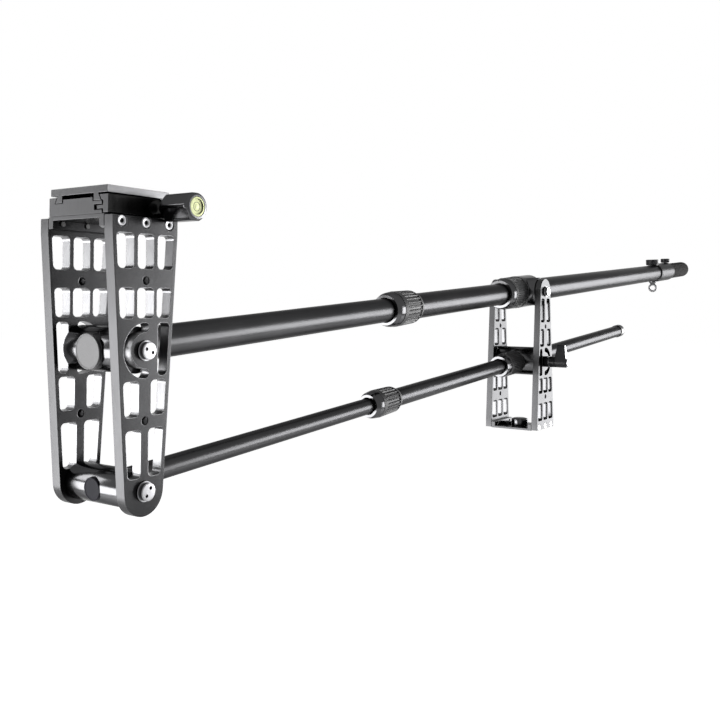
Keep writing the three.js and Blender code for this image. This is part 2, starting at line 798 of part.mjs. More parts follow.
addPiece(boom, 'thumb_screw', thumbScrew, looks.bright).position.x = thumbScrewAt;
const gripStart = boomRearEnd + gripStandOff;
const gripEnd = gripStart + gripLength;
const handleEnd = gripEnd - gripEndThickness;
addPiece(
  boom, 'handle_tube',
  tube(handleRadius, handleRadius - boomRearWall, boomRearEnd - handleInside, handleEnd),
  looks.glossBlack,
);
const gripBore = handleRadius + seatGap;
const gripRadius = gripBore + gripWall;
const gripCorner = gripRoundShares.map((share) => {
  const angle = share * Math.PI / 2;
  return [
    gripEnd - gripRound + gripRound * Math.sin(angle),
    gripRadius - gripRound + gripRound * Math.cos(angle),
  ];
});
const grip = turned('X', [
  [handleEnd + seatGap, 0], [handleEnd + seatGap, gripBore], [gripStart, gripBore],
  [gripStart, gripRadius], [gripEnd - gripRound, gripRadius], ...gripCorner, [gripEnd, 0],
]);
addPiece(boom, 'end_grip', grip, looks.foam);

// Rear part of the lower arm: a tee that the rod slides through, and its lock
const rodPivot = pivotGroup(rod, armLength);
const rodSlideBore = rodRearRadius + seatGap;
const rodNose = bar('X', rodNoseRadius, lockShoulder - rodRearLockAhead, 0);
const rodTailSleeve = bar('X', rodTailSleeveRadius, 0, rodTailSleeveLength);
addPiece(
  rodPivot, 'rod_rear_tee',
  teeSolid(rearBarrelRadius, rodSlideBore, rodNose, rodTailSleeve), looks.glossBlack,
);
addPiece(
  rodPivot, 'rod_lock_rear',
  lockSolid(
    -rodRearLockAhead, rodRearLockLength, rodNoseRadius, rodRearLockWall, rodRearRadius,
    closedLockShares,
  ),
  looks.rubber,
);

// Rear section of the rod, with its tail cap and the front lock
const rodTail = armLength + rodTailLength;
const rodTubeEnd = rodTail - rodCapEnd;
addPiece(
  rod, 'rod_tube_rear',
  tube(rodRearRadius, rodRearBore, rodFrontLockAt + lockShoulder, rodTubeEnd), looks.glossBlack,
);
const rodCapBore = rodRearRadius + seatGap;
const rodCapRadius = rodCapBore + rodCapWall;
const rodCapStart = rodTail - rodCapLength;
const rodCap = turned('X', [
  [rodTubeEnd + seatGap, 0], [rodTubeEnd + seatGap, rodCapBore], [rodCapStart, rodCapBore],
  [rodCapStart, rodCapRadius], [rodTail, rodCapRadius], [rodTail, 0],
]);
addPiece(rod, 'rod_end_cap', rodCap, looks.plastic);
addPiece(
  rod, 'rod_lock_front',
  lockSolid(
    rodFrontLockAt, rodFrontLockLength, rodRearRadius, rodFrontLockWall, rodFrontRadius,
    openLockShares,
  ),
  looks.rubber,
);

// Front section of the rod
const rodFrontEnd = rodFrontLockAt + rodFrontInside;
const rodFrontTube = rodFrontStart + plugFlange + seatGap;
addPiece(
  rod, 'rod_tube_front', tube(rodFrontRadius, rodFrontBore, rodFrontTube, rodFrontEnd),
  looks.glossBlack,
);
addPiece(
  rod, 'rod_end_plug', plugSolid(rodFrontStart, rodFrontRadius, rodFrontBore), looks.greyPlastic,
);
addPiece(
  rod, 'rod_front_tee', teeSolid(rodFrontBarrelRadius, rodFrontRadius + seatGap),
  looks.glossBlack,
);
addPiece(
  rod, 'rod_front_glide', glideSolid(rodFrontEnd, rodFrontBore, rodRearBore), looks.plastic,
);

// Camera bracket, level at the front pivots
const head = new THREE.Group();
head.position.set(frontPivotX, 0, frontPivotZ);
crane.add(head);
const headChannel = channelSolid(clampScrewRadius + seatGap);
addBracket(head, 'front', headChannel, 'head_channel', looks.anodised);
for (const [label, z] of [['upper', 0], ['lower', -pivotSpacing]]) {
  addPin(head, `front_${label}_pin_near`, z, true, pin);
  addPin(head, `front_${label}_pin_far`, z, false, pin);
}

// Clamp base with its fixed lip on the far side and a groove for the jaw on the near side
const clampBottom = channelReach + seatGap;
const clampTop = clampBottom + clampBaseHeight;
const lipTop = clampBottom + clampLipHeight;
const knobAxis = channelReach + knobHeight + seatGap;
const grooveLow = clampBottom + grooveFloor;
const grooveHigh = grooveLow + grooveHeight;
const grooveEnd = clampNear - grooveDepth;
const clampOutline = [
  [-clampFar, clampBottom], [clampNear, clampBottom], [clampNear, grooveLow],
  [grooveEnd, grooveLow], [grooveEnd, grooveHigh], [clampNear, grooveHigh],
  [clampNear, clampTop], [clampRibHalf, clampTop], [clampRibHalf, clampTop + clampRibHeight],
  [-clampRibHalf, clampTop + clampRibHeight], [-clampRibHalf, clampTop], [-flankFoot, clampTop],
  [-flankTop, lipTop], [-clampFar, lipTop],
];
const knobBore = knobShaftRadius + seatGap;
const knobShaftEnd = clampNear - knobShaftInside;
const boreEnd = knobShaftEnd - pinEndRoom;
const clampScrewSeat = channelReach - channelWeb - seatGap;
const clampScrewLow = clampScrewSeat - clampScrewHeadHeight;
const clampScrewTip = clampScrewSeat + clampScrewLength;
const clampScrewSocketTop = (clampScrewLow + clampScrewSeat) / 2;
const clampBase = cut(
  drawnAlong(clampOutline, clampHalfLength),
  barAt(knobAlong, 0, knobAxis, 'Y', knobBore, -clampNear - overrun, -boreEnd),
  block(
    new THREE.Vector3(knobAlong - knobBore, -clampNear - overrun, knobAxis),
    new THREE.Vector3(knobAlong + knobBore, -grooveEnd, clampTop + overrun),
  ),
  bar('Z', clampScrewRadius + seatGap, clampBottom - overrun, clampScrewTip + pinEndRoom),
);
addPiece(head, 'clamp_base', clampBase, looks.anodised);
const clampScrew = cut(
  turned('Z', [
    [clampScrewLow, 0], [clampScrewLow, clampScrewHeadRadius],
    [clampScrewSeat, clampScrewHeadRadius], [clampScrewSeat, clampScrewRadius],
    [clampScrewTip, clampScrewRadius], [clampScrewTip, 0],
  ], ringSides),
  bar('Z', clampScrewRadius, clampScrewLow - overrun, clampScrewSocketTop, hexSides),
);
addPiece(head, 'clamp_screw', clampScrew, looks.bright);

// Sliding jaw with its tongue in the groove
const jawInner = clampNear + jawGap;
const jawOuter = jawInner + jawWall;
const jawFlankFoot = clampTop + seatGap;
const jawFlankShare = (jawFlankFoot - clampTop) / (lipTop - clampTop);
const flankAtFoot = flankFoot + (flankTop - flankFoot) * jawFlankShare;
const tongueLow = grooveLow + tongueGap;
const tongueHigh = grooveHigh - tongueGap;
const tongueEnd = grooveEnd + tongueEndGap;
const jawOutline = [
  [jawInner, clampBottom + seatGap], [jawOuter, clampBottom + seatGap], [jawOuter, lipTop],
  [flankTop, lipTop], [flankAtFoot, jawFlankFoot], [jawInner, jawFlankFoot],
  [jawInner, tongueHigh], [tongueEnd, tongueHigh], [tongueEnd, tongueLow], [jawInner, tongueLow],
];
const jawBoss = turned('Y', [
  [-jawOuter - jawBossHeight, 0], [-jawOuter - jawBossHeight, jawBossTopRadius],
  [-jawOuter, jawBossRadius], [-jawInner, jawBossRadius * jawBossFootShare], [-jawInner, 0],
], ringSides).translate([knobAlong, 0, knobAxis]);
const jaw = cut(
  join(drawnAlong(jawOutline, clampHalfLength), jawBoss),
  barAt(knobAlong, 0, knobAxis, 'Y', knobBore, -jawOuter - jawBossHeight - overrun, 0),
);
addPiece(head, 'clamp_jaw', jaw, looks.anodised);

// Clamp knob: six sided with chamfered ends, a neck, a shaft and a pocket for the level
const knobSeat = jawOuter + jawBossHeight + seatGap;
const knobStart = knobSeat + knobNeckLength;
const knobEnd = knobStart + knobLength - knobNeckLength;
const knobBody = turned('Y', [
  [-knobEnd, 0], [-knobEnd, knobRadius - knobChamfer / 2],
  [knobChamfer / 2 - knobEnd, knobRadius], [-knobStart - knobChamfer, knobRadius],
  [-knobStart, knobRadius - knobChamfer], [-knobStart, 0],
]);
const hexRadius = knobRadius * knobFlatShare / Math.cos(Math.PI / hexSides);
const knobHex = bar('Y', hexRadius, -knobEnd - overrun, overrun - knobStart, hexSides);
const levelFloor = knobEnd - levelDepth;
const knob = cut(
  join(
    knobBody.intersect(knobHex),
    bar('Y', knobNeckRadius, -knobStart - knobChamfer, -knobSeat, ringSides),
    bar('Y', knobShaftRadius, -knobStart, -knobShaftEnd, smallSides),
  ),
  bar('Y', levelRadius + seatGap, -knobEnd - overrun, -levelFloor, ringSides),
);
const knobMesh = addPiece(head, 'clamp_knob', knob, looks.plastic);
knobMesh.position.set(knobAlong, 0, knobAxis);
const level = bar('Y', levelRadius, -knobEnd, -levelFloor - seatGap, ringSides);
const levelMesh = addPiece(head, 'bubble_level', level, looks.level);
levelMesh.position.set(knobAlong, 0, knobAxis);

// Camera plate with two dovetail feet, and its screw in a slot
const plateBottom = lipTop + cameraPlateLift;
const plateTop = plateBottom + cameraPlateThickness;
const footBottom = clampTop + seatGap;
const flankSlope = (flankFoot - flankTop) / (lipTop - clampTop);
const footOuterLow = flankFoot - seatGap - (footBottom - clampTop) * flankSlope - seatGap;
const footOuterHigh = footOuterLow - (plateBottom - footBottom) * flankSlope;
const cameraOutline = [
  [-cameraPlateFar, plateBottom], [-footOuterHigh, plateBottom], [-footOuterLow, footBottom],
  [-footInnerHalf, footBottom], [-footInnerHalf, plateBottom], [footInnerHalf, plateBottom],
  [footInnerHalf, footBottom], [footOuterLow, footBottom], [footOuterHigh, plateBottom],
  [cameraPlateNear, plateBottom], [cameraPlateNear, plateTop], [-cameraPlateFar, plateTop],
];
const slotHalf = cameraScrewRadius + seatGap;
const cameraPlate = cut(
  drawnAlong(cameraOutline, clampHalfLength),
  block(
    new THREE.Vector3(-cameraSlotHalfLength, -slotHalf, plateBottom - overrun),
    new THREE.Vector3(cameraSlotHalfLength, slotHalf, plateTop + overrun),
  ),
);
addPiece(head, 'camera_plate', cameraPlate, looks.anodised);
const screwHeadTop = plateBottom - seatGap;
const cameraHeadLow = screwHeadTop - cameraScrewHeadHeight;
const cameraScrewTop = plateTop - cameraScrewSink;
const cameraScrew = turned('Z', [
  [cameraHeadLow, 0], [cameraHeadLow, cameraScrewHeadRadius],
  [screwHeadTop, cameraScrewHeadRadius], [screwHeadTop, cameraScrewRadius],
  [cameraScrewTop, cameraScrewRadius], [cameraScrewTop, 0],
], ringSides);
addPiece(head, 'camera_screw', cameraScrew, looks.bright);

export default crane;
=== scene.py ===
import json
import math

import bmesh
import bpy
from mathutils import Matrix, Vector


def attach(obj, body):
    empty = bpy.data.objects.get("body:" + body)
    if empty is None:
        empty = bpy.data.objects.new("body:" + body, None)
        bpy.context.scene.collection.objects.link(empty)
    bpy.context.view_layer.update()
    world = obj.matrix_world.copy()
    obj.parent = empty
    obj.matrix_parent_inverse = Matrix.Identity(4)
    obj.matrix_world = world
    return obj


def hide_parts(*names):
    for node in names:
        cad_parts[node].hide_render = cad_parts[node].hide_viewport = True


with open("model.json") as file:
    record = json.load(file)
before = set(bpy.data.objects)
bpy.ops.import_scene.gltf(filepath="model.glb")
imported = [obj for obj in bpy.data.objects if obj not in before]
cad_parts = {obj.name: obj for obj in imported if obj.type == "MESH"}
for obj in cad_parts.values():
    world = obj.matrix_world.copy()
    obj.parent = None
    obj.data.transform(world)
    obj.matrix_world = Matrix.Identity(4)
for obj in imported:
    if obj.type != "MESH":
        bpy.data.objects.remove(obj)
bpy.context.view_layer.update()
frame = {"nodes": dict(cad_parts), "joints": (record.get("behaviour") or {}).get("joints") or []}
print("frame loaded:", len(frame["nodes"]), "nodes")

mm = 0.001
quarterTurn = math.pi / 2
fullTurn = 2 * math.pi
scene = bpy.context.scene


def sizesOf(piece, names):
    return [piece[name] for name in names.split()]


# The camera: where the photograph was taken from, level with the arm and near its front end
camera = {
    "place": (-1.27966, -0.55335, 0.19658), "yaw": 33.781, "pitch": 0.814, "roll": 0.277,
    "lens": 43.617, "sensor": 36, "shiftUp": -0.1,
}
yaw, pitch, roll = map(math.radians, sizesOf(camera, "yaw pitch roll"))
ahead = Vector((math.cos(pitch) * math.cos(yaw), math.cos(pitch) * math.sin(yaw), math.sin(pitch)))
levelRight = Vector((math.sin(yaw), -math.cos(yaw), 0))
levelUp = levelRight.cross(ahead)
cameraRight = levelRight * math.cos(roll) + levelUp * math.sin(roll)
cameraUp = levelUp * math.cos(roll) - levelRight * math.sin(roll)
cameraData = bpy.data.cameras.new("camera")
cameraData.sensor_width = camera["sensor"]
cameraData.lens = camera["lens"]
cameraData.shift_y = camera["shiftUp"]
cameraObject = bpy.data.objects.new("camera", cameraData)
turnedTo = Matrix((cameraRight, cameraUp, -ahead)).transposed().to_4x4()
cameraObject.matrix_world = Matrix.Translation(camera["place"]) @ turnedTo
scene.collection.objects.link(cameraObject)
scene.camera = cameraObject
scene.view_settings.view_transform = "Standard"
print("camera placed")

# Each piece is modelled in millimetres about its own pivot, and one of these puts it in place
joints = {joint["name"]: joint for joint in frame["joints"]}
rearUpperPivot = Vector(joints["arm_tilt"]["pos_m"])
rearLowerPivot = Vector(joints["rod_tilt"]["pos_m"])
frontUpperPivot = Vector(joints["camera_level"]["pos_m"])
frontLowerPivot = frontUpperPivot + rearLowerPivot - rearUpperPivot
armAxis = (rearUpperPivot - frontUpperPivot).normalized()
armLength = (rearUpperPivot - frontUpperPivot).length / mm
pivotSpacing = (rearUpperPivot - rearLowerPivot).length / mm


def placeAt(origin, along=(1, 0, 0)):
    x = Vector(along).normalized()
    y = Vector((0, 1, 0))
    matrix = Matrix((x, y, x.cross(y))).transposed().to_4x4()
    return Matrix.Translation(origin) @ matrix @ Matrix.Scale(mm, 4)


onBoom = placeAt(frontUpperPivot, armAxis)
onRod = placeAt(frontLowerPivot, armAxis)
onBoomPivot = placeAt(rearUpperPivot, armAxis)
onRodPivot = placeAt(rearLowerPivot, armAxis)
onHead = placeAt(frontUpperPivot)
onRear = placeAt(rearLowerPivot, (-1, 0, 0))   # the same bracket, upside down
onTripod = placeAt((0, 0, 0))
brackets = {"front": (onHead, "camera_bracket"), "rear": (onRear, "tripod_bracket")}

asIs = Matrix.Identity(4)
halfRound = Matrix.Rotation(math.pi, 4, "Z")   # carries a far side piece to the near side, or back
axisTurns = {
    "X": asIs,
    "Y": Matrix.Rotation(quarterTurn, 4, "Z"),
    "Z": Matrix.Rotation(-quarterTurn, 4, "Y"),
}


# Shaping helpers
def shift(x=0, y=0, z=0):
    return Matrix.Translation((x, y, z))


def moved(shape, *matrices):
    for matrix in matrices:
        shape.transform(matrix)
    return shape


def tidyFaces(shape):
    bmesh.ops.remove_doubles(shape, verts=shape.verts, dist=0.002)
    bmesh.ops.recalc_face_normals(shape, faces=shape.faces)
    return shape


def spun(profile, axis="X", steps=96, ring=False):
    # turns a line of (along, radius) points about an axis; a ring's line closes on itself
    shape = bmesh.new()
    points = [shape.verts.new((along, 0, radius)) for along, radius in profile]
    if ring:
        points.append(points[0])
    for start, end in zip(points, points[1:]):
        shape.edges.new((start, end))
    bmesh.ops.spin(
        shape, geom=shape.verts[:] + shape.edges[:], cent=(0, 0, 0), axis=(1, 0, 0),
        angle=fullTurn, steps=steps, use_merge=True,
    )
    return tidyFaces(moved(shape, axisTurns[axis]))


def turned(line, axis="X", steps=96):
    # a solid bar with this outer line and two flat ends
    return spun([(line[0][0], 0), *line, (line[-1][0], 0)], axis, steps)


def groove(at, width, radius, depth, slope=0.2):
    # the part of a line that dips into a round surface
    return [(at, radius), (at + slope, radius - depth), (at + width - slope, radius - depth),
            (at + width, radius)]


def threaded(start, pitch, turns, crest, root):
    # the part of a line that zigzags between a thread's two radii
    line = []
    for turn in range(turns):
        line += [(start + pitch * turn, crest), (start + pitch * (turn + 0.5), root)]
    return line + [(start + pitch * turns, crest)]


def bevelled(shape, geom, width, segments, affect="EDGES"):
    bmesh.ops.bevel(
        shape, geom=geom, offset=width, offset_type="OFFSET", segments=segments, profile=0.5,
        affect=affect, clamp_overlap=True, material=-1,
    )
    return shape


def soften(shape, width, segments=2, sharperThan=28, keep=None):
    edges = [
        edge for edge in shape.edges
        if len(edge.link_faces) == 2 and edge.calc_face_angle() > math.radians(sharperThan)
        and (keep is None or keep(edge))
    ]
    return bevelled(shape, edges, width, segments)


def runsAlong(axis, reach=5):
    # picks a block's long edges along one axis
    number = "XYZ".index(axis)
    return lambda edge: abs((edge.verts[0].co - edge.verts[1].co)[number]) > reach


def block(low, high):
    shape = bmesh.new()
    size = Vector(high) - Vector(low)
    middle = (Vector(high) + Vector(low)) / 2
    matrix = Matrix.Translation(middle) @ Matrix.Diagonal((*size, 1))
    bmesh.ops.create_cube(shape, size=1, matrix=matrix)
    return shape


def thickened(shape, way):
    # draws a flat face out into a solid
    out = bmesh.ops.extrude_face_region(shape, geom=shape.faces[:])["geom"]
    drawnOut = [item for item in out if isinstance(item, bmesh.types.BMVert)]
    bmesh.ops.translate(shape, verts=drawnOut, vec=way)
    return shape


def drawn(outline, halfLength):
    # an outline given as (towards the near side, up), drawn out along X
    shape = bmesh.new()
    shape.faces.new([shape.verts.new((-halfLength, -near, up)) for near, up in outline])
    return tidyFaces(thickened(shape, (2 * halfLength, 0, 0)))


def gather(*shapes):
    # puts several shapes in one mesh, each still a closed shell of its own
    whole = shapes[0]
    for shape in shapes[1:]:
        loose = bpy.data.meshes.new("loose")
        shape.to_mesh(loose)
        shape.free()
        whole.from_mesh(loose)
        bpy.data.meshes.remove(loose)
    return whole


def combined(operation, base, *tools):
    loose = []
    for shape in (base, *tools):
        mesh = bpy.data.meshes.new("loose")
        shape.to_mesh(mesh)
        shape.free()
        loose.append(bpy.data.objects.new("loose", mesh))
        scene.collection.objects.link(loose[-1])
    for tool in loose[1:]:
        modifier = loose[0].modifiers.new(operation, "BOOLEAN")
        modifier.operation = operation
        modifier.solver = "EXACT"
        modifier.object = tool
    solved = loose[0].evaluated_get(bpy.context.evaluated_depsgraph_get())
    result = bmesh.new()
    result.from_mesh(solved.to_mesh())
    solved.to_mesh_clear()
    for piece in loose:
        mesh = piece.data
        bpy.data.objects.remove(piece)
        bpy.data.meshes.remove(mesh)
    return result


def ringOf(shape, count):
    # repeats a shape round the X axis
    bmesh.ops.spin(
        shape, geom=shape.verts[:] + shape.edges[:] + shape.faces[:], cent=(0, 0, 0),
        axis=(1, 0, 0), angle=fullTurn * (count - 1) / count, steps=count - 1, use_duplicate=True,
    )
    return shape


def rib(start, end, depth, width, topShare=0.45):
    # one raised bar along X, narrower on top, between two (along, radius) points
    shape = block((0, -width / 2, 0), (1, width / 2, 1))
    for vert in shape.verts:
        atEnd, onTop = vert.co.x > 0.5, vert.co.z > 0.5
        along, radius = end if atEnd else start
        if onTop:
            along += depth * (-0.5 if atEnd else 0.5)
            vert.co.y *= topShare
        vert.co.x = along
        vert.co.z = radius if onTop else radius - depth
    topLevel = min(start[1], end[1]) - depth / 2
    top = [edge for edge in shape.edges if all(vert.co.z > topLevel for vert in edge.verts)]
    return bevelled(shape, top, depth * 0.25, 1)


def paint(shape, finishNumber, axis="Y", where=None):
    # gives a finish to the faces whose middle passes a test of (along the axis, out from it)
    number = "XYZ".index(axis)
    for face in shape.faces:
        middle = face.calc_center_median()
        along = middle[number]
        middle[number] = 0
        if where is None or where(along, middle.length):
            face.material_index = finishNumber
    return shape


def paintEnds(shape):
    # the second finish goes where an extrusion was cut across
    for face in shape.faces:
        face.material_index = 1 if abs(face.normal.x) > 0.9 else 0
    return shape


def addPiece(name, shape, place, finishes, body, node, evenShading=True):
    shape.transform(place)
    mesh = bpy.data.meshes.new(name)
    shape.to_mesh(mesh)
    shape.free()
    for finish in finishes:
        mesh.materials.append(finish)
    mesh.shade_smooth()
    mesh.set_sharp_from_angle(angle=math.radians(32))
    piece = bpy.data.objects.new(name, mesh)
    scene.collection.objects.link(piece)
    if evenShading:
        modifier = piece.modifiers.new("even shading", "WEIGHTED_NORMAL")
        modifier.keep_sharp = True
    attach(piece, body)
    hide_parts(node)


# Materials
def added(tree, kind, output, inputs, **settings):
    # adds a node, and links each input that is given another node's output
    node = tree.nodes.new("ShaderNode" + kind)
    for key, value in settings.items():
        setattr(node, key, value)
    for key, value in inputs.items():
        if isinstance(value, bpy.types.NodeSocket):
            tree.links.new(value, node.inputs[key])
        else:
            node.inputs[key].default_value = value
    return node.outputs[output]


def newFinish(name, look):
    material = bpy.data.materials.new(name)
    material.use_nodes = True
    tree = material.node_tree
    shader = tree.nodes["Principled BSDF"]
    shader.inputs["Metallic"].default_value = look.get("metallic", 0)
    shader.inputs["IOR"].default_value = look.get("ior", 1.5)
    shader.inputs["Specular IOR Level"].default_value = look.get("shine", 0.5)
    edge = look.get("edgeTint", 1)   # below 1, a metal's glancing reflections stay dark
    shader.inputs["Specular Tint"].default_value = (edge, edge, edge, 1)
    place = added(tree, "TexCoord", "Object", {})
    stretched = added(tree, "Mapping", "Vector", {
        "Scale": look.get("stretch", (1, 1, 1)), "Vector": place,
    })
    grain = added(tree, "TexNoise", "Fac", {
        "Scale": look["grainScale"], "Detail": 3, "Vector": stretched,
    })
    if "cells" in look:
        cells = added(tree, "TexVoronoi", "Distance", {"Scale": look["cells"], "Vector": place})
        grain = added(tree, "Math", "Value", {0: grain, 1: cells}, operation="ADD")
    handled = added(tree, "TexNoise", "Fac", {   # slow change, as from hands
        "Scale": 18, "Detail": 4, "Vector": place,
    })

    firstColour, secondColour = look["colours"]
    spread = added(tree, "Math", "Value", {0: grain, 1: handled}, operation="MULTIPLY")
    even = added(tree, "MapRange", "Result", {"From Min": 0.1, "From Max": 0.45, "Value": spread})
    tint = added(tree, "Mix", "Result", {
        "A": (*firstColour, 1), "B": (*secondColour, 1), "Factor": even,
    }, data_type="RGBA")
    smoothest, roughest = look["roughness"]
    gloss = added(tree, "MapRange", "Result", {
        "From Min": 0.3, "From Max": 0.7, "To Min": smoothest, "To Max": roughest, "Value": handled,
    })
    bump = added(tree, "Bump", "Normal", {
        "Strength": look["bump"], "Distance": look.get("bumpDepth", 0.0001), "Height": grain,
    })
    tree.links.new(tint, shader.inputs["Base Color"])
    tree.links.new(gloss, shader.inputs["Roughness"])
    tree.links.new(bump, shader.inputs["Normal"])
    return material


# Black anodising on bead blasted plate
plateBlack = newFinish("plateBlack", {
    "colours": ((0.018, 0.018, 0.0185), (0.028, 0.028, 0.0288)), "metallic": 1, "edgeTint": 0.5,
    "roughness": (0.2, 0.25), "grainScale": 2600, "bump": 0.3, "bumpDepth": 0.00005,
})
# The same anodising where the cutter has run: long edges and the ends of the extrusions
milledBlack = newFinish("milledBlack", {
    "colours": ((0.027, 0.027, 0.0278), (0.037, 0.037, 0.0381)), "metallic": 1, "edgeTint": 0.6,
    "roughness": (0.32, 0.42), "grainScale": 900, "stretch": (1, 3, 0.12), "bump": 0.25,
    "bumpDepth": 0.00004,
})
# Sides of the camera plate, left rougher by the saw
sawnBlack = newFinish("sawnBlack", {
    "colours": ((0.17, 0.17, 0.175), (0.27, 0.27, 0.275)), "metallic": 0.9,
    "roughness": (0.5, 0.6), "grainScale": 1100, "stretch": (0.15, 1, 1), "bump": 0.4,
    "bumpDepth": 0.00007,
})
# Painted highlight on the front plates' slot walls: a lighter copy of the milled anodising
slotWallPaintedHighlight = newFinish("slotWallPaintedHighlight", {
    "colours": ((0.085, 0.085, 0.0876), (0.13, 0.13, 0.1339)), "metallic": 1,
    "roughness": (0.32, 0.42), "grainScale": 900, "stretch": (1, 3, 0.12), "bump": 0.25,
    "bumpDepth": 0.00004,
})
# Gloss black anodised tube, with very fine drawing lines along it
tubeBlack = newFinish("tubeBlack", {
    "colours": ((0.032, 0.032, 0.033), (0.042, 0.042, 0.0433)), "metallic": 1, "edgeTint": 0.45,
    "roughness": (0.29, 0.34), "grainScale": 1400, "stretch": (0.03, 1, 1), "bump": 0.05,
    "bumpDepth": 0.00003,
})
# Gloss black turned pieces: tees, shells of the locks, boss and knob
shellBlack = newFinish("shellBlack", {
    "colours": ((0.045, 0.045, 0.0464), (0.06, 0.06, 0.0618)), "metallic": 1, "edgeTint": 0.45,
    "roughness": (0.15, 0.2), "grainScale": 900, "bump": 0.04, "bumpDepth": 0.00003,
})
jawBlack = newFinish("jawBlack", {
    "colours": ((0.012, 0.012, 0.012), (0.025, 0.025, 0.025)), "metallic": 1, "edgeTint": 0.4,
    "roughness": (0.2, 0.3), "grainScale": 260, "stretch": (1, 1, 0.05), "bump": 0.35,
})
nickel = newFinish("nickel", {
    "colours": ((0.16, 0.16, 0.1648), (0.23, 0.23, 0.2369)), "metallic": 1,
    "roughness": (0.32, 0.38), "grainScale": 1500, "bump": 0.1, "bumpDepth": 0.00004,
})
# Screw heads, plated dull
screwSteel = newFinish("screwSteel", {
    "colours": ((0.2, 0.2, 0.206), (0.3, 0.3, 0.309)), "metallic": 1,
    "roughness": (0.3, 0.38), "grainScale": 1500, "bump": 0.12, "bumpDepth": 0.00004,
})
darkChrome = newFinish("darkChrome", {
    "colours": ((0.04, 0.04, 0.0412), (0.08, 0.08, 0.0824)), "metallic": 1,
    "roughness": (0.14, 0.2), "grainScale": 900, "bump": 0.05, "bumpDepth": 0.00003,
})
gripRubber = newFinish("gripRubber", {
    "colours": ((0.012, 0.012, 0.013), (0.03, 0.03, 0.031)), "shine": 0.15,
    "roughness": (0.5, 0.6), "grainScale": 2200, "bump": 0.25, "bumpDepth": 0.00006,
})
# Grey trim: the lever's end face and hub ring and the knob's end ring are grey; on the lock lips it is
# a painted highlight
greyTrimAndPaintedLipHighlight = newFinish("greyTrimAndPaintedLipHighlight", {
    "colours": ((0.06, 0.06, 0.0618), (0.1, 0.1, 0.103)), "metallic": 0.75,
    "roughness": (0.3, 0.42), "grainScale": 1500, "bump": 0.12, "bumpDepth": 0.00005,
})
foam = newFinish("foam", {
    "colours": ((0.002, 0.002, 0.002), (0.014, 0.0137, 0.0137)), "shine": 0.03, "ior": 1.4,
    "roughness": (0.9, 0.97), "grainScale": 1300, "cells": 900, "bump": 0.9, "bumpDepth": 0.0004,
})
mouldedBlack = newFinish("mouldedBlack", {
    "colours": ((0.004, 0.004, 0.005), (0.011, 0.011, 0.012)), "shine": 0.12,
    "roughness": (0.3, 0.42), "grainScale": 1800, "bump": 0.35, "bumpDepth": 0.00007,
})
plugGrey = newFinish("plugGrey", {
    "colours": ((0.06, 0.06, 0.062), (0.1, 0.1, 0.103)), "shine": 0.2,
    "roughness": (0.45, 0.55), "grainScale": 1500, "bump": 0.4, "bumpDepth": 0.00008,
})
plugDark = newFinish("plugDark", {
    "colours": ((0.004, 0.004, 0.006), (0.01, 0.01, 0.014)), "shine": 0.06,
    "roughness": (0.55, 0.65), "grainScale": 1500, "bump": 0.4, "bumpDepth": 0.00008,
})
# Painted shade inside sockets and spanner holes, and on threads
recessPaintedShade = newFinish("recessPaintedShade", {
    "colours": ((0.002, 0.002, 0.002), (0.005, 0.005, 0.005)),
    "roughness": (0.5, 0.6), "grainScale": 1200, "bump": 0.2,
})
levelLime = newFinish("levelLime", {
    "colours": ((0.76, 0.82, 0.42), (0.84, 0.88, 0.5)), "shine": 0.1,
    "roughness": (0.4, 0.5), "grainScale": 300, "bump": 0.02,
})
levelClear = newFinish("levelClear", {
    "colours": ((0.78, 0.83, 0.45), (0.84, 0.88, 0.52)), "shine": 0.1,
    "roughness": (0.3, 0.4), "grainScale": 300, "bump": 0.02,
})
print("materials made")

# Side plates: four alike, wide at the channel and round at the far pivot
plate = {
    "inner": 33, "thickness": 9.5, "reach": 102.8, "halfWidth": 33, "straight": 12,
    "roundRadius": 19.5, "rim": 3.75, "slotCorner": 3.6, "cornerSteps": 6, "edge": 0.45,
    # rows of slots: low, high, inner wall, half width of the middle slot
    "slotRows": [(63.02, 89.64, 12.11, 8.05), (24.88, 48.11, 11.58, 8.32),
                 (-50.22, -23.22, 6.1, 0), (-97.2, -60.48, 3.8, 0)],
    "arcSlot": (14.19, 21.28), "sideSlot": (12.75, -19.94, 21.07),
    "accessoryHoles": (53.97, -54), "accessoryRadius": 3.3, "pinHole": 4.3,
    "screwLevel": 98.6, "screwsAt": (-23.9, 0, 23.9), "counterbore": 4.7, "counterboreDepth": 3.8,
    "mouth": 1.4, "threadFrom": 0.9, "pitch": 1.27, "threadTurns": 6, "threadDepth": 0.55,
}
wideCorner = Vector((plate["halfWidth"], plate["reach"] - plate["straight"]))
roundCentre = Vector((0, -pivotSpacing))
toCorner = wideCorner - roundCentre
touchAngle = math.atan2(toCorner.y, toCorner.x) - math.acos(plate["roundRadius"] / toCorner.length)
touch = roundCentre + plate["roundRadius"] * Vector((math.cos(touchAngle), math.sin(touchAngle)))


def rimAt(height):
    share = (height - touch.y) / (wideCorner.y - touch.y)
    return min(plate["halfWidth"], touch.x + (wideCorner.x - touch.x) * share) - plate["rim"]


def onPlateEdge(x, z):
    # true on the plate's outer wall, false on the walls of its slots
    if z < touch.y:
        return math.hypot(x, z - roundCentre.y) > plate["roundRadius"] - 1
    return z > plate["reach"] - 1 or abs(x) > rimAt(z) + plate["rim"] - 1


def slotLine(shape, corners):
    points = [shape.verts.new((x, 0, z)) for x, z in corners]
    for start, end in zip(points, points[1:] + points[:1]):
        shape.edges.new((start, end))
    bevelled(shape, points, plate["slotCorner"], plate["cornerSteps"], "VERTICES")


def outerSlot(shape, inner, low, high, side=1):
    # its outer wall follows the plate's edge
    corners = [(inner, low), (rimAt(low), low), (rimAt(high), high), (inner, high)]
    slotLine(shape, [(side * x, z) for x, z in corners])


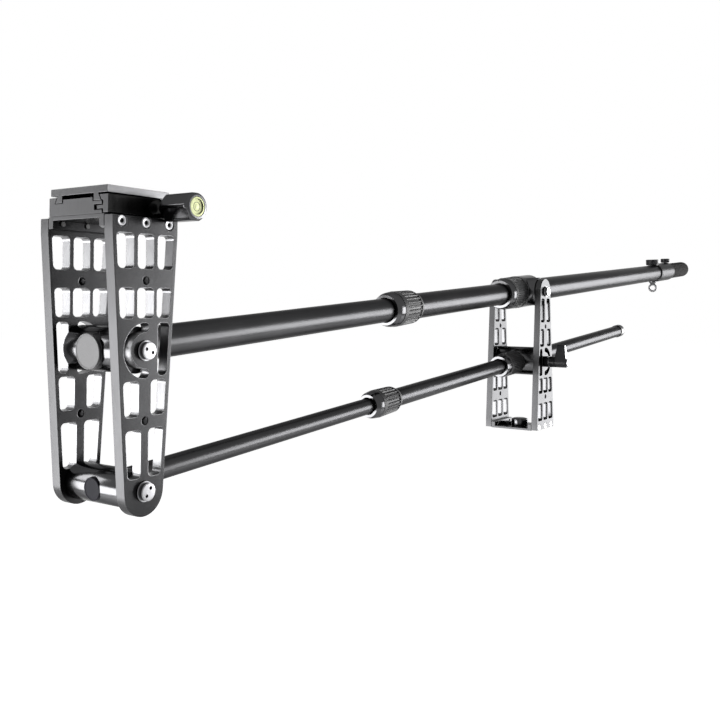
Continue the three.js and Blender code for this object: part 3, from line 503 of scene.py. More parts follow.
def carried(shape, point, centre, angle, steps):
    # carries a point round a centre, which draws an arc, and gives back where it ends
    swept = bmesh.ops.spin(
        shape, geom=[point], cent=(centre[0], 0, centre[1]), axis=(0, 1, 0), angle=angle,
        steps=steps,
    )
    return swept["geom_last"][0]


def plateShape():
    shape = bmesh.new()
    # outer line, with the round end swept
    right = shape.verts.new((touch.x, 0, touch.y))
    left = carried(shape, right, roundCentre, math.pi + 2 * touchAngle, 48)
    corners = [(-wideCorner.x, wideCorner.y), (-wideCorner.x, plate["reach"]),
               (wideCorner.x, plate["reach"]), (wideCorner.x, wideCorner.y)]
    points = [left, *(shape.verts.new((x, 0, z)) for x, z in corners), right]
    for start, end in zip(points, points[1:]):
        shape.edges.new((start, end))
    for low, high, inner, half in plate["slotRows"]:
        for side in (-1, 1):
            outerSlot(shape, inner, low, high, side)
        if half:
            slotLine(shape, [(-half, low), (half, low), (half, high), (-half, high)])
    outerSlot(shape, *plate["sideSlot"])
    # curved slot round the pivot
    arcInner, arcOuter = plate["arcSlot"]
    arcMiddle = (arcInner + arcOuter) / 2
    first = shape.verts.new((0, 0, arcOuter))
    bottomOuter = carried(shape, first, (0, 0), -math.pi, 40)
    bottomInner = carried(shape, bottomOuter, (0, -arcMiddle), -math.pi, 12)
    topInner = carried(shape, bottomInner, (0, 0), math.pi, 40)
    last = carried(shape, topInner, (0, arcMiddle), -math.pi, 12)
    bmesh.ops.pointmerge(shape, verts=[first, last], merge_co=first.co)
    hole = plate["accessoryRadius"]
    holes = [(z, plate["pinHole"]) for z in (0, -pivotSpacing)]
    holes += [(z, hole) for z in plate["accessoryHoles"]]
    for z, radius in holes:
        bmesh.ops.create_circle(
            shape, radius=radius, segments=32, cap_ends=False,
            matrix=shift(z=z) @ Matrix.Rotation(quarterTurn, 4, "X"),
        )
    bmesh.ops.triangle_fill(shape, use_beauty=True, use_dissolve=True, edges=shape.edges[:])
    thickened(shape, (0, -plate["thickness"], 0))
    bmesh.ops.recalc_face_normals(shape, faces=shape.faces)
    soften(shape, plate["edge"], sharperThan=60)
    shape.transform(shift(y=-plate["inner"]))
    outer = -plate["inner"] - plate["thickness"]
    bore, depth = sizesOf(plate, "counterbore counterboreDepth")
    line = [(outer - 1, bore + plate["mouth"]), (outer + 0.4, bore), (outer + depth, bore)]
    cutters = [moved(turned(line, "Y", 48), shift(x=x, z=plate["screwLevel"]))
               for x in plate["screwsAt"]]
    shape = combined("DIFFERENCE", shape, gather(*cutters))
    for face in shape.faces:
        x, _, z = face.calc_center_median()
        if min(math.hypot(x, z - at) for at in plate["accessoryHoles"]) < hole + 0.5:
            face.material_index = 3
        elif abs(face.normal.y) < 0.97:
            face.material_index = 1 if onPlateEdge(x, z) else 2
    # threads cut in the accessory holes
    start, pitch, turns = outer + plate["threadFrom"], plate["pitch"], plate["threadTurns"]
    line = threaded(start, pitch, turns, hole, hole - plate["threadDepth"])
    line = [(start, hole + 0.05), *line, (start + pitch * turns, hole + 0.05)]
    threads = [moved(spun(line, "Y", 32, ring=True), shift(z=z)) for z in plate["accessoryHoles"]]
    return gather(shape, *(paint(thread, 3) for thread in threads))


nearPlate = plateShape()
for bracket, (place, body) in brackets.items():
    # the front plates' slot walls carry a painted highlight, the rear plates' the darker glossy black
    # as painted shade
    slotWallPaintedLightAndShade = slotWallPaintedHighlight if bracket == "front" else shellBlack
    for side, turn in (("near", asIs), ("far", halfRound)):
        addPiece(
            f"{bracket}_side_plate_{side}", moved(nearPlate.copy(), turn), place,
            (plateBlack, milledBlack, slotWallPaintedLightAndShade, shellBlack), body,
            f"{bracket}_plate_{side}",
        )
nearPlate.free()
print("side plates made")


# Channels that join the plates
channel = {
    "half": 33, "side": 32.7, "top": 103.7, "bottom": 94.4, "web": 3, "leg": 5.6, "edge": 0.35,
    "headHole": 4.3, "baseHole": 8.3, "smallBossAt": 20.05, "smallBoss": 5.8, "smallBossHeight": 4,
    "smallBossHole": 2.6,
}


def channelShape(webHole, withSmallBoss):
    side, top, bottom = sizesOf(channel, "side top bottom")
    under = top - channel["web"]
    within = side - channel["leg"]
    outline = [(-side, bottom), (-within, bottom), (-within, under), (within, under),
               (within, bottom), (side, bottom), (side, top), (-side, top)]
    shape = soften(drawn(outline, channel["half"]), channel["edge"])
    through = turned([(under - 2, webHole), (top + 2, webHole)], "Z", 64)
    shape = paintEnds(combined("DIFFERENCE", shape, through))
    if withSmallBoss:
        low = under - channel["smallBossHeight"]
        hole, radius = sizesOf(channel, "smallBossHole smallBoss")
        line = [(low, hole + 0.4), (low + 0.4, hole), (under + 0.5, hole),
                (under + 0.5, radius), (low + 0.6, radius), (low, radius - 0.6)]
        smallBoss = moved(spun(line, "Z", 48, ring=True), shift(y=channel["smallBossAt"]))
        shape = gather(shape, smallBoss)
    return shape


for name, node, hole, bracket in (
    ("head_u_channel", "head_channel", channel["headHole"], "front"),
    ("base_u_channel", "base_channel", channel["baseHole"], "rear"),
):
    place, body = brackets[bracket]
    addPiece(name, channelShape(hole, bracket == "rear"), place, (plateBlack, milledBlack), body,
             node)

# Socket screws through the plates into the channels
screw = {
    "top": 42.3, "head": 4.15, "headHeight": 3.2, "shank": 1.95, "tip": 26, "chamfer": 0.4,
    "socket": 1.85, "socketDepth": 2, "drillPoint": 0.6, "dish": 0.3,
}


def screwShape():
    top, head, shank, chamfer, socket, dish = sizesOf(screw, "top head shank chamfer socket dish")
    seat = top - screw["headHeight"]
    line = [(screw["tip"], shank), (seat, shank), (seat, head), (top - chamfer, head),
            (top, head - chamfer), (top, socket + dish + 0.3), (top - dish, socket)]
    floor = top - screw["socketDepth"]
    key = [(floor - screw["drillPoint"], 0), (floor, socket), (top + 1, socket), (top + 1, 0)]
    shape = combined("DIFFERENCE", turned(line, "Y", 48), spun(key, "Y", 6))
    # painted shade on the socket and on the threads below the head
    return paint(shape, 1, where=lambda along, out: (   # the socket and the threads are blacked
        along < seat - 0.05 or (out < socket and along > floor - 1)
    ))


oneScrew = screwShape()
for bracket, (place, body) in brackets.items():
    for number, x in enumerate(plate["screwsAt"], 1):
        for side, turn in (("near", halfRound), ("far", asIs)):
            addPiece(
                f"{bracket}_socket_screw_{side}_{number}",
                moved(oneScrew.copy(), turn, shift(x=x, z=plate["screwLevel"])), place,
                (screwSteel, recessPaintedShade), body, f"{bracket}_screw_{side}_{number}",
            )
oneScrew.free()

# Pivot pins: shank, stepped washer, and a cap with two spanner holes
pin = {
    "end": 22.5, "shank": 4, "seat": 42.8, "washer": 8, "washerThickness": 1.2, "washerEdge": 0.25,
    "cap": 7, "capHeight": 3.5, "chamfer": 0.5, "spannerHole": 1.3, "spannerAt": 3.4,
    "spannerDepth": 2, "groove": 0.35, "spannerTurn": 35, "tightenedBy": 0.7,
    "studSeat": 78, "studCap": 2,
}


def pinShape(seat, capHeight, withWasher):
    end, shank, cap, hole = sizesOf(pin, "end shank cap spannerHole")
    line = [(end, shank), (seat, shank)]
    capFrom = seat
    if withWasher:
        capFrom += pin["washerThickness"]
        washer, edge = sizesOf(pin, "washer washerEdge")
        line += [(seat, washer - edge), (seat + edge, washer), (capFrom - edge, washer),
                 (capFrom, washer - edge), (capFrom, cap - 0.5), (capFrom + pin["groove"], cap - 0.5)]
    top = capFrom + capHeight
    line += [(capFrom + pin["groove"], cap), (top - pin["chamfer"], cap),
             (top - 0.15, cap - 0.35), (top, cap - 0.9)]
    floor = top - min(pin["spannerDepth"], capHeight * 0.8)
    drill = [(floor - 0.4, 0), (floor, hole), (top - 0.2, hole), (top + 0.3, hole + 0.4),
             (top + 0.3, 0)]
    turn = Matrix.Rotation(math.radians(pin["spannerTurn"]), 4, "Y")
    spots = [Vector((way * pin["spannerAt"], 0, 0)) for way in (-1, 1)]
    drills = [moved(spun(drill, "Y", 24), Matrix.Translation(spot), turn) for spot in spots]
    shape = combined("DIFFERENCE", turned(line, "Y", 72), gather(*drills))
    middles = [turn @ spot for spot in spots]
    # the spanner holes take painted shade
    for face in shape.faces:
        x, y, z = face.calc_center_median()
        nearest = min(math.hypot(x - middle.x, z - middle.z) for middle in middles)
        if nearest < hole + 0.1 and capFrom < y < top - 0.1:
            face.material_index = 1
    return shape


onePin = pinShape(pin["seat"], pin["capHeight"], True)
pinPlaces = [
    ("rear", "upper", -pivotSpacing, "near"), ("rear", "upper", -pivotSpacing, "far"),
    ("rear", "lower", 0, "far"), ("front", "upper", 0, "near"), ("front", "upper", 0, "far"),
    ("front", "lower", -pivotSpacing, "near"), ("front", "lower", -pivotSpacing, "far"),
]
for number, (bracket, level, z, side) in enumerate(pinPlaces):
    place, body = brackets[bracket]
    # no two are tightened to the same angle
    spin = Matrix.Rotation(pin["tightenedBy"] * number, 4, "Y")
    turn = halfRound if side == "near" else asIs
    addPiece(
        f"{bracket}_{level}_pivot_pin_{side}", moved(onePin.copy(), spin, turn, shift(z=z)), place,
        (nickel, recessPaintedShade), body, f"{bracket}_{level}_pin_{side}",
    )
onePin.free()
stud = moved(pinShape(pin["studSeat"], pin["studCap"], False), halfRound)
addPiece("tilt_lock_end_stud", stud, onRear, (nickel, recessPaintedShade), "tripod_bracket",
         "tilt_lock_stud")
print("screws and pins made")

# Tilt lock: a hub with a bright ring in it, and a paddle that is round at the hub and thin on top
lever = {
    "inner": 42.8, "hubEnd": 58.7, "end": 77.7, "hub": 8.25, "bore": 4.3, "rise": 26.6,
    "tip": 3, "innerSlant": 3.2, "endSlant": 4, "endFlat": 8.4, "edge": 1, "ringFrom": 48.6,
    "ringWidth": 2.2, "ringDepth": 0.7, "ringSlope": 0.2,
}


def leverShape():
    inner, hubEnd, end, hub, bore = sizesOf(lever, "inner hubEnd end hub bore")
    tip, rise, flat, ringFrom, slope = sizesOf(lever, "tip rise endFlat ringFrom ringSlope")
    ringTo = ringFrom + lever["ringWidth"]
    ringRadius = hub - lever["ringDepth"]
    line = [(inner, bore), (inner, hub - 0.3), (inner + 0.3, hub),
            (ringFrom - slope, hub), (ringFrom, ringRadius), (ringTo, ringRadius),
            (ringTo + slope, hub), (hubEnd, hub), (hubEnd, bore)]
    hubRing = paint(spun(line, "Y", 72, ring=True), 1, where=lambda along, out: (
        ringFrom - 0.1 < along < ringTo + 0.1 and out > bore + 1
    ))
    # the paddle's outline: two arcs and the lines that touch both
    tipLevel = rise - tip
    lean = math.asin((hub - tip) / tipLevel)
    side = Vector((math.cos(lean), math.sin(lean)))
    paddle = bmesh.new()
    low = paddle.verts.new((hub * side.x, hubEnd, hub * side.y))
    lowFar = carried(paddle, low, (0, 0), math.pi + 2 * lean, 48)
    high = paddle.verts.new((tip * side.x, hubEnd, tipLevel + tip * side.y))
    highFar = carried(paddle, high, (0, tipLevel), 2 * lean - math.pi, 20)
    for start, finish in ((low, high), (lowFar, highFar)):
        paddle.edges.new((start, finish))
    bmesh.ops.contextual_create(paddle, geom=paddle.edges[:])
    thickened(paddle, (0, end - hubEnd, 0))
    for vert in paddle.verts:
        if vert.co.y > end - 1:
            vert.co.y -= lever["endSlant"] * max(0, vert.co.z - flat) / (rise - flat)
        else:
            vert.co.y += lever["innerSlant"] * max(0, vert.co.z) / rise
    bmesh.ops.recalc_face_normals(paddle, faces=paddle.faces)
    soften(paddle, lever["edge"], segments=3, sharperThan=50)
    body = combined("DIFFERENCE", paddle, turned([(hubEnd - 1, bore), (end + 1, bore)], "Y", 48))
    for face in body.faces:
        face.material_index = 1 if face.normal.y > 0.9 else 0
    return gather(body, hubRing)


addPiece("tilt_lock_paddle", moved(leverShape(), halfRound), placeAt(rearLowerPivot),
         (mouldedBlack, greyTrimAndPaintedLipHighlight), "tilt_lock", "tilt_lock_lever")

# Tripod boss: a round nut with a groove, a domed top and a threaded socket
boss = {
    "spigot": 8, "seat": 3.3, "top": 14, "radius": 12.7, "dome": 2.5, "thread": 4.6, "depth": 11,
    "pitch": 1.6, "grooveAt": 1.8, "grooveWidth": 1, "grooveDepth": 0.5,
}


def bossShape():
    radius, top, seat, dome, spigot = sizesOf(boss, "radius top seat dome spigot")
    thread, depth, pitch = sizesOf(boss, "thread depth pitch")
    line = [(0, thread + 0.6), (0.3, spigot - 0.3), (0.6, spigot), (seat, spigot),
            (seat, radius - 0.4), (seat + 0.4, radius),
            *groove(seat + boss["grooveAt"], boss["grooveWidth"], radius, boss["grooveDepth"]),
            (top - dome, radius), (top - dome * 0.42, radius - dome * 0.35),
            (top, radius - dome * 1.4), (top, 0), (depth, 0)]
    turns = int((depth - 1.2) / pitch)
    line += threaded(depth, -pitch, turns, thread + 0.15, thread - 0.45)
    return spun(line, "Z", 72, ring=True)


addPiece("tripod_socket_boss", bossShape(), onTripod, (shellBlack,), "tripod_bracket",
         "tripod_boss")
print("tilt lock and boss made")

# Telescopic tubes, as distances along the arm from the front pivot
tubes = {
    # name: (node, place, body, radius, wall, start, end)
    "boom_front_section": ("boom_tube_front", onBoom, "boom_front", 14.3, 1.2, -18.2, 508),
    "boom_middle_section": ("boom_tube_middle", onBoom, "boom_middle", 16, 1.2, 422.2, 868),
    "boom_rear_section": ("boom_tube_rear", onBoom, "boom_rear", 17.9, 1.4, 745.1, 1683),
    "boom_handle": ("handle_tube", onBoom, "handle", 16.2, 1.4, 1613, 1831.2),
    "rod_front_section": ("rod_tube_front", onRod, "rod_front", 9.3, 1, -12.7, 467.5),
    "rod_rear_section": ("rod_tube_rear", onRod, "rod_rear", 11, 1.2, 385, 1313.9),
}
for name, (node, place, body, radius, wall, start, end) in tubes.items():
    line = [(start + 0.3, radius), (end - 0.3, radius), (end, radius - 0.3), (end, radius - wall),
            (start, radius - wall), (start, radius - 0.3)]
    addPiece(name, spun(line, "X", 128, ring=True), place, (tubeBlack,), body, node,
             evenShading=False)
print("tubes made")

# Tees: a barrel between the plates, sleeves along the arm, and the bore for the tube
tee = {"half": 32.7, "edge": 0.7, "pinBore": 4.3, "pinEnd": 22, "pastEnd": 40, "reach": 120}
tees = {
    # name: (node, place, body, barrel radius, bore, outer line of the sleeve)
    "boom_front_barrel": ("boom_front_tee", onBoom, "boom_front", 18.4, 14.45, ()),
    "rod_front_barrel": ("rod_front_tee", onRod, "rod_front", 15.1, 9.45, ()),
    "boom_rear_barrel": (
        "boom_rear_tee", onBoomPivot, "boom_rear", 21.6, 18.05,
        ((-21.4, 24.2), (-20.8, 24.8), (33, 24.8), (33.8, 24.5), (49.6, 18.9), (49.9, 18.4)),
    ),
    "rod_rear_barrel": (
        "rod_rear_tee", onRodPivot, "rod_pivot", 21.6, 11.15,
        ((-71.4, 13.5), (0, 13.5), (0, 17), (38, 17), (38.6, 16.4)),
    ),
}


def teeShape(radius, bore, sleeve):
    half, edge, pinBore, pinEnd, pastEnd, reach = sizesOf(
        tee, "half edge pinBore pinEnd pastEnd reach")
    third = edge * 0.3
    shape = turned([
        (-half, radius - edge), (-half + third, radius - third), (-half + edge, radius),
        (half - edge, radius), (half - third, radius - third), (half, radius - edge),
    ], "Y", 128)
    if sleeve:
        shape = combined("UNION", shape, turned(sleeve, "X", 128))
    through = turned([(-reach, bore), (reach, bore)], "X", 128)
    stubs = [moved(turned([(pinEnd, pinBore), (pastEnd, pinBore)], "Y", 48), turn)
             for turn in (asIs, halfRound)]
    return combined("DIFFERENCE", shape, through, gather(*stubs))


for name, (node, place, body, *sizes) in tees.items():
    addPiece(name, teeShape(*sizes), place, (shellBlack,), body, node,
             evenShading=False)
print("tees made")

# End plugs: a plain disc with a fine rim, on a spigot in the tube
plugs = {
    # name: (node, place, body, end face, radius, spigot radius, finish)
    "boom_nose_plug": ("boom_end_plug", onBoom, "boom_front", -21, 14.3, 12.8, plugGrey),
    "rod_nose_plug": ("rod_end_plug", onRod, "rod_front", -15.5, 9.3, 8, plugDark),
}
for name, (node, place, body, at, radius, spigot, finish) in plugs.items():
    line = [(at + 0.25, radius - 1.6), (at, radius - 1.2), (at, radius - 0.5), (at + 0.5, radius),
            (at + 2.5, radius), (at + 2.5, spigot), (at + 12.5, spigot)]
    addPiece(name, turned(line), place, (finish,), body, node)

# Twist locks: a glossy shell whose lip rim carries a painted highlight in grey, a smooth ring, and a
# ribbed rubber grip.
# An outline gives the height of the shell as a share of its wall, along its length.
openOutline = [(0, 0.36), (0.085, 0.73), (0.135, 0.86), (0.298, 1), (0.863, 0.86), (1, 0.32)]
closedOutline = [(0, 0.38), (0.11, 0.72), (0.24, 0.88), (0.5, 0.9), (0.53, 1), (1, 1)]
locks = {
    # node: (place, body, start, length, radius of the tube it sits on, wall, inner tube, outline, ribs)
    "boom_lock_front": (onBoom, "boom_front_lock", 414.7, 63.7, 16, 5.6, 14.3, openOutline, 26),
    "boom_lock_rear": (onBoom, "boom_rear_lock", armLength - 76.8, 54.4, 17.9, 6.6, 16,
                       closedOutline, 44),
    "rod_lock_front": (onRod, "rod_front_lock", 377.5, 57.5, 11, 5.5, 9.3, openOutline, 24),
    "rod_lock_rear": (onRodPivot, "rod_rear_lock", -78.9, 56.4, 13.5, 4.2, 11, closedOutline, 40),
}
lockParts = {
    "shoulder": 7.2, "clearance": 0.15, "openDepth": 1.3, "closedDepth": 1, "ribShare": 0.54,
    "openRibs": (0.34, 0.86), "closedRibs": (0.3, 0.985), "lip": 0.06, "groove": 0.5,
}


def lockShape(at, length, host, wall, inner, outline, ribs):
    gap, cut, lip, shoulder = sizesOf(lockParts, "clearance groove lip shoulder")
    isOpen = outline is openOutline
    depth = lockParts["openDepth" if isOpen else "closedDepth"]
    ribFrom, ribTo = lockParts["openRibs" if isOpen else "closedRibs"]

    def spot(share, inward=0):
        height = outline[-1][1]
        for (fromShare, low), (toShare, high) in zip(outline, outline[1:]):
            if fromShare <= share <= toShare:
                height = low + (high - low) * (share - fromShare) / (toShare - fromShare)
                break
        return (at + share * length, host + wall * height - inward)

    line = [
        (at + 1.2, inner + gap), (at, inner + 0.9), spot(0.004), spot(lip), spot(lip + 0.006, cut),
        spot(lip + 0.03, cut), spot(lip + 0.036), spot(0.12), spot(0.17), spot(0.2),
        spot(0.206, cut), spot(0.222, cut), spot(0.228), spot(0.3), spot(ribFrom - 0.012),
        spot(ribFrom, depth), spot((ribFrom + ribTo) / 2, depth), spot(ribTo, depth),
        spot(min(ribTo + 0.01, 1)),
    ]
    if isOpen:
        line += [spot(0.94), spot(0.985), spot(1, 0.5)]
    line += [(at + length, host + gap), (at + shoulder, host + gap), (at + shoulder, inner + gap)]
    shell = spun(line, "X", 96, ring=True)
    for face in shell.faces:
        middle = face.calc_center_median()
        share, out = (middle.x - at) / length, math.hypot(middle.y, middle.z)
        if out < host + gap + 0.1 and share > 0.02:
            face.material_index = 0
        # the outer rim of the lip's front takes the grey finish, a painted highlight
        elif share < lip:
            face.material_index = 2 if out > host + wall * 0.55 else 0
        elif share > 0.225:
            face.material_index = 1
    start, end = spot(ribFrom), spot(ribTo)
    width = fullTurn * (start[1] - depth) / ribs * lockParts["ribShare"]
    grip = rib((start[0] - 0.6, start[1]), (end[0] + 0.2, end[1]), depth + 0.1, width)
    return gather(shell, paint(ringOf(grip, ribs), 1))


for node, (place, body, *sizes) in locks.items():
    addPiece(node.replace("lock", "twist_lock"), lockShape(*sizes), place,
             (shellBlack, gripRubber, greyTrimAndPaintedLipHighlight), body, node)
print("twist locks made")

# Tail of the boom: hanging eye and its nut, end sleeve, thumb screw and grip
eye = {
    "at": 1566, "shank": 3, "drop": 33.5, "ring": 7.6, "wire": 2.2, "flange": 8, "seat": 18.2,
    "flangeThickness": 2.5, "collar": 8, "collarEnd": 3.6, "end": 30.4,
}
eyeNut = {"bore": 3.1, "hub": 12.4, "seat": 18.2, "waist": 19, "radius": 13.5, "top": 31, "lobes": 28}


def eyeShape():
    seat, shank, flange, end = sizesOf(eye, "seat shank flange end")
    flangeLow = -seat - eye["flangeThickness"]
    collarLow = -seat - eye["collar"]
    line = [(eye["ring"] - eye["drop"], shank), (collarLow, shank), (collarLow, eye["collarEnd"]),
            (flangeLow, flange - 0.4), (flangeLow + 0.4, flange), (-seat - 0.4, flange),
            (-seat, flange - 0.4), (-seat, shank), (end - 0.3, shank), (end, shank - 0.4)]
    ring = bmesh.new()
    bmesh.ops.create_circle(
        ring, radius=eye["wire"], segments=24, cap_ends=False, matrix=shift(y=eye["ring"]),
    )
    bmesh.ops.spin(
        ring, geom=ring.verts[:] + ring.edges[:], cent=(0, 0, 0), axis=(1, 0, 0),
        angle=fullTurn, steps=64, use_merge=True,
    )
    ring.transform(shift(z=-eye["drop"]))
    shape = combined("UNION", turned(line, "Z", 48), tidyFaces(ring))
    return paint(shape, 1, "Z", where=lambda along, out: (
        collarLow - 0.1 < along < -seat + 0.1 and out > shank + 0.1
    ))


def knurledHead(sizes):
    bore, hub, seat, waist, radius, top, lobes = sizesOf(
        sizes, "bore hub seat waist radius top lobes")
    depth = 0.7
    core = radius - depth
    line = [(seat, bore), (seat, hub), (waist, hub), (waist, core - 0.5), (waist + 0.5, core),
            (top - 0.5, core), (top, core - 0.5), (top, bore)]
    width = fullTurn * core / lobes * 0.62
    bar = rib((waist + 0.2, radius), (top - 0.2, radius), depth + 0.15, width, topShare=0.5)
    knurl = moved(ringOf(bar, lobes), axisTurns["Z"])
    return gather(spun(line, "Z", 72, ring=bore > 0), knurl)


addPiece("counterweight_eye", moved(eyeShape(), shift(x=eye["at"])), onBoom,
         (darkChrome, shellBlack), "hanging_eye", "hanging_eye_bolt")
addPiece("counterweight_eye_nut", moved(knurledHead(eyeNut), shift(x=eye["at"])), onBoom,
         (mouldedBlack,), "hanging_nut", "hanging_eye_nut")

sleeve = {"start": 1575, "end": 1683, "radius": 20.75, "bore": 18.05, "groove": 0.5,
          "grooveAt": 4, "grooveWidth": 1.6}
start, end, radius, bore = sizesOf(sleeve, "start end radius bore")
at, width, depth = sizesOf(sleeve, "grooveAt grooveWidth groove")
line = [(start, bore), (start, radius - 0.7), (start + 0.5, radius - 0.2), (start + 1, radius),
        *groove(start + at, width, radius, depth, 0.3),
        *groove(end - at - width, width, radius, depth, 0.3),
        (end - 1, radius), (end, radius - 1), (end, bore)]
addPiece("tail_sleeve", spun(line, "X", 128, ring=True), onBoom, (tubeBlack,), "boom_rear",
         "end_sleeve")

thumb = {
    "at": 1677, "tip": 16.5, "shank": 2.3, "bore": 0, "hub": 8.6, "seat": 21.05, "waist": 21.4,
    "radius": 10, "top": 30.4, "lobes": 22,
}
stem = turned([(thumb["tip"], thumb["shank"]), (thumb["seat"], thumb["shank"])], "Z", 32)
addPiece("tail_thumb_screw", moved(gather(knurledHead(thumb), stem), shift(x=thumb["at"])), onBoom,
         (mouldedBlack,), "tail_screw", "thumb_screw")

grip = {"start": 1686.7, "end": 1835.7, "bore": 16.5, "radius": 18.1, "round": 9, "wall": 1831.5}
start, end, bore, radius, bend, wall = sizesOf(grip, "start end bore radius round wall")
line = [(wall, bore), (start, bore), (start, radius - 0.6), (start + 0.6, radius)]
for step in range(13):
    angle = quarterTurn * step / 12
    line.append((end - bend + bend * math.sin(angle), radius - bend + bend * math.cos(angle)))
addPiece("tail_grip", turned(line), onBoom, (foam,), "handle", "end_grip")

cap = {"start": 1298.9, "end": 1316.4, "radius": 12.2, "bore": 11.3, "wall": 1314.2,
       "grooveAt": 3.2, "grooveWidth": 1.3, "groove": 0.4}
start, end, radius, bore, wall = sizesOf(cap, "start end radius bore wall")
line = [(wall, bore), (start, bore), (start, radius - 0.5), (start + 0.5, radius),
        *groove(end - cap["grooveAt"], cap["grooveWidth"], radius, cap["groove"], 0.3),
        (end - 1, radius), (end, radius - 1)]
addPiece("rod_tail_cap", turned(line), onRod, (mouldedBlack,), "rod_rear",
         "rod_end_cap")
print("tail made")

# Quick release clamp, as (towards the near side, up) outlines
clamp = {
    "half": 31.3, "far": 34.2, "near": 28.1, "bottom": 104, "top": 113.9, "lip": 118.8,
    "flankFoot": 27.6, "flankTop": 24.9, "ribHalf": 17.5, "rib": 3, "grooveEnd": 19.4,
    "grooveLow": 106.9, "grooveHigh": 111.2, "edge": 0.45, "knobAt": 22.7, "knobLevel": 111.4,
    "knobBore": 2.75, "boreEnd": 3.6,
}
far, near, bottom, top, lip = sizesOf(clamp, "far near bottom top lip")
grooveEnd, grooveLow, grooveHigh, ribHalf = sizesOf(clamp, "grooveEnd grooveLow grooveHigh ribHalf")
knobAt, knobLevel, knobBore = sizesOf(clamp, "knobAt knobLevel knobBore")
onKnob = shift(x=knobAt, z=knobLevel)
ribTop = top + clamp["rib"]
outline = [
    (-far, bottom), (near, bottom), (near, grooveLow), (grooveEnd, grooveLow),
    (grooveEnd, grooveHigh), (near, grooveHigh), (near, top), (ribHalf, top), (ribHalf, ribTop),
    (-ribHalf, ribTop), (-ribHalf, top), (-clamp["flankFoot"], top), (-clamp["flankTop"], lip),
    (-far, lip),
]
base = soften(drawn(outline, clamp["half"]), clamp["edge"])
knobSlit = block((knobAt - knobBore, -near - 3, knobLevel), (knobAt + knobBore, -grooveEnd, top + 6))
knobHole = turned([(-near - 3, knobBore), (-clamp["boreEnd"], knobBore)], "Y", 32)
base = combined("DIFFERENCE", base, knobSlit, moved(knobHole, onKnob))
addPiece("clamp_body", paintEnds(base), onHead, (plateBlack, milledBlack), "camera_bracket",
         "clamp_base")

clampScrew = {"low": 96.8, "seat": 100.4, "tip": 109.9, "head": 7, "shank": 4, "socket": 4,
              "socketDepth": 2}
low, seat, tip, head, shank = sizesOf(clampScrew, "low seat tip head shank")
socket, socketEnd = clampScrew["socket"], low + clampScrew["socketDepth"]
line = [(low, head - 0.5), (low + 0.5, head), (seat, head), (seat, shank), (tip, shank)]
key = turned([(low - 1, socket), (socketEnd, socket)], "Z", 6)
addPiece("clamp_fixing_screw", combined("DIFFERENCE", turned(line, "Z", 64), key), onHead,
         (nickel,), "camera_bracket", "clamp_screw")

# Sliding jaw: its near face swells out to the knob
jaw = {
    "inner": 29.2, "outer": 35.6, "foot": 114.2, "footNear": 27.4, "tongueLow": 107.5,
    "tongueHigh": 110.6, "tongueEnd": 22.1, "edge": 0.6, "boss": 6.5, "bossTop": 38.6,
    "bossEdge": 0.4, "flare": 7.2, "flareAlong": 2.1, "flareSteps": 8, "clearance": 0.3,
}
inner, outer, foot, tongueLow, tongueHigh, tongueEnd = sizesOf(
    jaw, "inner outer foot tongueLow tongueHigh tongueEnd")
low = bottom + jaw["clearance"]
outline = [
    (inner, low), (outer, low), (outer, lip), (clamp["flankTop"], lip), (jaw["footNear"], foot),
    (inner, foot), (inner, tongueHigh), (tongueEnd, tongueHigh), (tongueEnd, tongueLow),
    (inner, tongueLow),
]
jawBody = soften(drawn(outline, clamp["half"]), jaw["edge"], segments=3)
bossRadius, bossTop, bossEdge, flare = sizesOf(jaw, "boss bossTop bossEdge flare")
line = [(-bossTop, bossRadius - bossEdge), (-bossTop + bossEdge, bossRadius)]
for step in range(1, jaw["flareSteps"] + 1):
    angle = quarterTurn * step / jaw["flareSteps"]
    rise = (bossTop - outer - bossEdge) * (1 - math.sin(angle))
    line.append((-outer - rise, bossRadius + (flare - bossRadius) * (1 - math.cos(angle))))
swelling = turned([*line, (-inner, flare)], "Y")
for vert in swelling.verts:
    swell = max(0, (vert.co.y + bossTop) / (bossTop - outer))
    vert.co.x *= 1 + (jaw["flareAlong"] - 1) * min(1, swell) ** 2
swelling.transform(onKnob)
jawBore = moved(turned([(-bossTop - 2, knobBore), (0, knobBore)], "Y", 32), onKnob)
trim = block((-clamp["half"], -60, low), (clamp["half"], 0, lip))
jawShape = combined("UNION", jawBody, combined("INTERSECT", swelling, trim))
jawShape = combined("DIFFERENCE", jawShape, jawBore)
addPiece("clamp_sliding_jaw", paintEnds(jawShape), onHead, (jawBlack, milledBlack), "jaw",
         "clamp_jaw")

# Clamp knob: a round bar with six flats, its chamfers arched by them, and a level in its end
knob = {
    "seat": 38.9, "start": 41.9, "end": 74.4, "neck": 5.5, "radius": 11.8, "flat": 10.8,
    "backChamfer": 4, "frontChamfer": 2.4, "flatEdge": 2.4, "shaft": 2.45, "shaftEnd": 4.1,
    "pocket": 8, "pocketDepth": 6, "rim": 9.2,
}
back, front, radius = -knob["start"], -knob["end"], knob["radius"]
pocket, neck, shaft = sizesOf(knob, "pocket neck shaft")
chamferEnd = front + knob["frontChamfer"]
line = [(front, knob["rim"]), (front + 0.5, radius - 1.5), (chamferEnd, radius - 0.35),
        (chamferEnd + 1.8, radius), (back - knob["backChamfer"], radius), (back, radius - 4)]
corner = knob["flat"] / math.cos(math.pi / 6)
hexagon = turned([(front - 2, corner), (back + 2, corner)], "Y", 6)
hexagon.transform(Matrix.Rotation(math.pi / 6, 4, "Y"))
soften(hexagon, knob["flatEdge"], segments=4, keep=runsAlong("Y"))
knobBody = combined("INTERSECT", turned(line, "Y"), hexagon)
hollow = turned([(front - 1, pocket), (front + knob["pocketDepth"], pocket)], "Y", 72)
